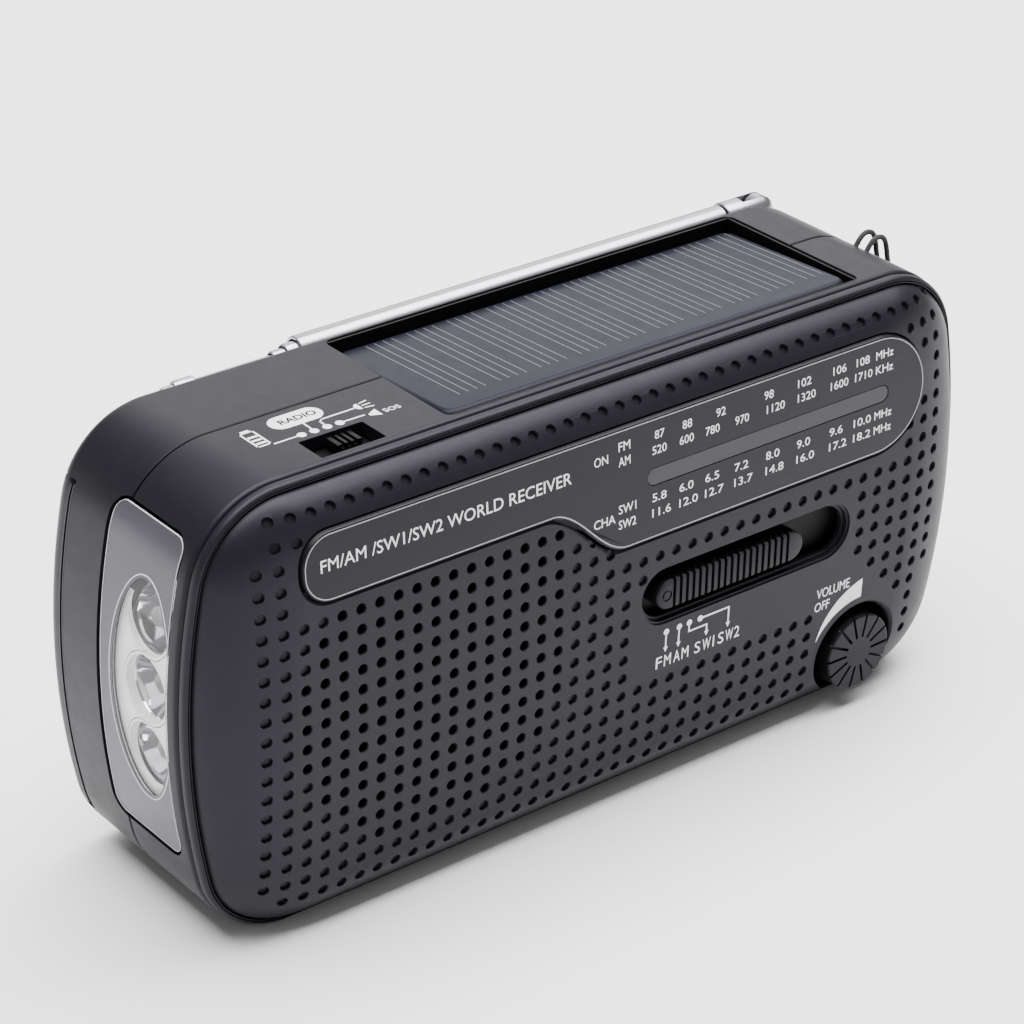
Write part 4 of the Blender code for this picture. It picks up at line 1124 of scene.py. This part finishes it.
def make_lamps():
    """A white flange, three mirror bowls behind it and a diode in each."""
    flange = add_mesh("reflector", prism(inset_outline(1.25), -10.6, 6.8), WHITE)
    keep(flange, box((-90, -20, 19), (-74.9, 20, 63.5)))
    keep(flange, oval_prism(0.55))
    bowls = add_mesh("reflector_bowls", prism(inset_outline(2.6), -10.4, 6.6), BRIGHT)
    keep(bowls, box((-90, -20, 19.2), (-67.6, 20, 63.3)))
    carve(bowls, box((-90, -20, 19), (-75.3, 20, 64)))
    bowl = [(5.35, -80), (5.35, -75.3), (5.0, -74.6), (4.9, -73.6), (4.2, -72.2), (4.1, -71.4), (3.2, -70.2),
            (2.6, -69.6), (2.6, -60)]
    groove = [(5.75, -80), (5.75, -75.2), (5.95, -75.2), (5.95, -80)]
    for z in LAMP_HEIGHTS:
        carve(flange, turned(bowl, (LAMP_Y, z), "X"))
        carve(bowls, turned(bowl, (LAMP_Y, z), "X"))
        carve(flange, turned(groove, (LAMP_Y, z), "X", closed=True))
    piece(flange, "case", "torch_reflector")
    piece(bowls, "case")
    led = [(2.4, -67.1), (2.4, -70.4), (2.3, -71.1), (2.0, -71.8), (1.5, -72.4), (0.9, -72.8), (0.3, -72.9)]
    for number, z in enumerate(LAMP_HEIGHTS, 1):
        make_piece(f"lamp_{number}", turned(led, (LAMP_Y, z), "X", 40), LED, "case", f"torch_led_{number}")


# ---- antenna

def pin_hole():
    return rod(0.95, (PIVOT_X, ANTENNA_AXIS[1]), 15, 30, sides=24)


def make_antenna_base():
    y, z = ANTENNA_AXIS
    bracket = soft_box((62.6, 22.3, 56.0), (72.2, 29.9, 65.6), 0.9, 4)
    hole = rod(2.3, (PIVOT_X, y), 58.0, 70, "Z")
    make_piece("bracket", bracket, CASE, "case", "antenna_bracket", cuts=[hole])
    foot = [(2.0, 58.6), (2.0, 66.0), (2.65, 66.0), (2.8, 66.15), (2.8, 67.2), (2.6, 67.4)]
    base = add_mesh("foot", turned(foot, (PIVOT_X, y), "Z", 48), CHROME)
    tongue = rod(2.6, (PIVOT_X, z), y - 0.9, y + 0.9, sides=40)
    neck = box((PIVOT_X - 1.8, y - 0.9, 66.8), (PIVOT_X + 1.8, y + 0.9, z))
    join(base, tongue, neck)
    carve(base, pin_hole())
    piece(base, "antenna_swivel_base", "antenna_base")


def make_fork():
    y = ANTENNA_AXIS[0]
    profile = [(2.7, FORK_START), (2.85, FORK_START + 0.15), (2.9, FORK_START + 0.45), (2.9, PIVOT_X)]
    for turn in (15, 30, 45, 60, 72, 82):
        angle = radians(turn)
        profile.append((2.9 * cos(angle), PIVOT_X + 2.9 * sin(angle)))
    cuts = [box((PIVOT_X - 4.3, y - 1.2, 60), (80, y + 1.2, 80)), pin_hole()]
    make_piece("fork", turned(profile, ANTENNA_AXIS, "X", 56), CHROME, "antenna_outer", "antenna_fork",
               cuts=cuts)


def make_tubes():
    for index, (name, outer, inner, end) in enumerate(TUBES):
        first = FORK_START - 0.3 - index
        profile = [(inner, end), (outer - 0.2, end), (outer - 0.05, end + 0.12), (outer, end + 0.35),
                   (outer, first - 0.2), (outer - 0.15, first), (inner, first)]
        tube = turned(profile, ANTENNA_AXIS, "X", 56, closed=True)
        make_piece(f"tube_{name}", tube, CHROME, f"antenna_{name}", f"antenna_tube_{index + 1}")
    whip = rod(0.75, ANTENNA_AXIS, -47.4, FORK_START - 4.8, "X", 40)
    make_piece("whip", whip, CHROME, "antenna_whip", "antenna_rod")
    tip = [(0.5, -53.6), (0.8, -53.45), (0.9, -53.1), (0.9, -51.6), (1.25, -51.45), (1.4, -51.1),
           (1.4, -48.1), (1.3, -47.75), (1.1, -47.7)]
    make_piece("whip_tip", turned(tip, ANTENNA_AXIS, "X", 48), CHROME, "antenna_whip", "antenna_tip")


# ---- rear

def make_crank():
    x, z = DISH_CENTRE
    tip = x + CRANK_REACH
    arm_outline = grown_stadium((x - 6.5, tip + 3, z - 6.5, z + 6.5))
    arm = add_mesh("arm", stack(arm_outline, [(0, 12.4), (0, 14.9), (-0.15, 15.25), (-0.5, 15.4)]), CASE)
    adds = [turned([(5.5, 12.6), (5.5, 16.6), (5.1, 17)], DISH_CENTRE, sides=48)]
    for low in (z - 6.1, z + 4.3):
        adds.append(box((tip - 2.6, 14, low), (tip + 2.6, 21.4, low + 1.8)))
    join(arm, *adds)
    pin = rod(1.2, (tip, KNOB_AXIS_Y), z - 10, z + 10, "Z", 24)
    hollow = stack(grown_stadium((x + 8, tip - 6, z - 3.6, z + 3.6)), [(0, 14.6), (0.2, 18)])
    carve(arm, pin, hollow)
    piece(arm, "crank", "crank_arm")


def make_grip():
    x, z = DISH_CENTRE
    tip = x + CRANK_REACH
    grip = [(1.6, tip - 3.2), (2.7, tip - 3.2), (2.95, tip - 3.5)]
    for i in range(9):
        along = tip - 4.6 - 1.5 * i
        grip += [(3.05, along + 0.5), (3.05, along - 0.3), (2.75, along - 0.45), (2.75, along - 0.85)]
    grip += [(3.0, tip - 18.4), (2.6, tip - 19.3), (1.6, tip - 19.3)]
    grip_shape = turned(grip, (KNOB_AXIS_Y, z), "X", 48, closed=True)
    make_piece("grip", grip_shape, BLACK, "knob", "crank_knob")


def wheel_outline(grow):
    """The tuning wheel's wavy rim, with six points to a rib."""
    x, z = WHEEL_CENTRE
    points = []
    for i in range(6 * WHEEL_RIBS):
        turn = 2 * pi * i / (6 * WHEEL_RIBS)
        radius = WHEEL_RADIUS + grow + 0.25 * cos(WHEEL_RIBS * turn)
        points.append((x + radius * cos(turn), z + radius * sin(turn)))
    return points


def make_wheel():
    wheel = add_mesh("wheel", stack(wheel_outline, [(-0.4, 5.0), (0, 5.35), (0, 9.05), (-0.4, 9.4)]), COVER)
    join(wheel, rod(3, WHEEL_CENTRE, 3.9, 7))
    piece(wheel, "tuning", "tuning_wheel")


def make_port_cover():
    x0, x1, z0, z1 = PORT
    low = (x0 + 0.3, REAR_Y - 0.9, z0 + 0.3)
    high = (x1 - 0.3, REAR_Y + 0.1, z1 - 0.3)
    make_piece("flap", soft_box(low, high, 0.25), RUBBER, "port_flap", "port_cover",
               cuts=[prism(stadium(PORT_NOTCH), REAR_Y - 0.2, 25)])


CARRIED = (
    (STEEL, "speaker_frame volume_shaft pointer_rail crank_shaft crank_knob_yoke crank_knob_pin "
            "charge_socket earphone_socket case_screw_1 case_screw_2 case_screw_3 case_screw_4"),
    (PAPER, "speaker_cone"),
    (FERRITE, "speaker_magnet tuning_capacitor"),
    # volume_control's plate, seen at the bottom of the knob's well, is black: painted shade for the well's
    # shadow, over a steel part.
    (BLACK, "band_switch_body volume_control function_switch_body antenna_rest"),
    (BOARD, "torch_board main_board"),
    (WRAP, "battery_pack"),
    (POINTER, "dial_pointer"),
    (NYLON, "crank_gear idler_gear"),
    (BRASS, "idler_axle dynamo_rotor"),
    (COPPER, "dynamo_stator"),
    (CHROME, "antenna_pin"),
)


def paint_carried():
    """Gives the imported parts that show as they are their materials."""
    for material, names in CARRIED:
        for name in names.split():
            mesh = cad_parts[name].data
            mesh.materials.clear()
            mesh.materials.append(material)


add_camera()
make_strap()
make_cover()
make_trim()
make_front_shell()
make_rear_shell()
make_door()
make_dial()
print_dial()
print_cover()
print_top()
make_slider()
make_volume()
make_function_switch()
make_solar()
make_lens()
make_lamps()
make_antenna_base()
make_fork()
make_tubes()
make_crank()
make_grip()
make_wheel()
make_port_cover()
paint_carried()
add_studio()
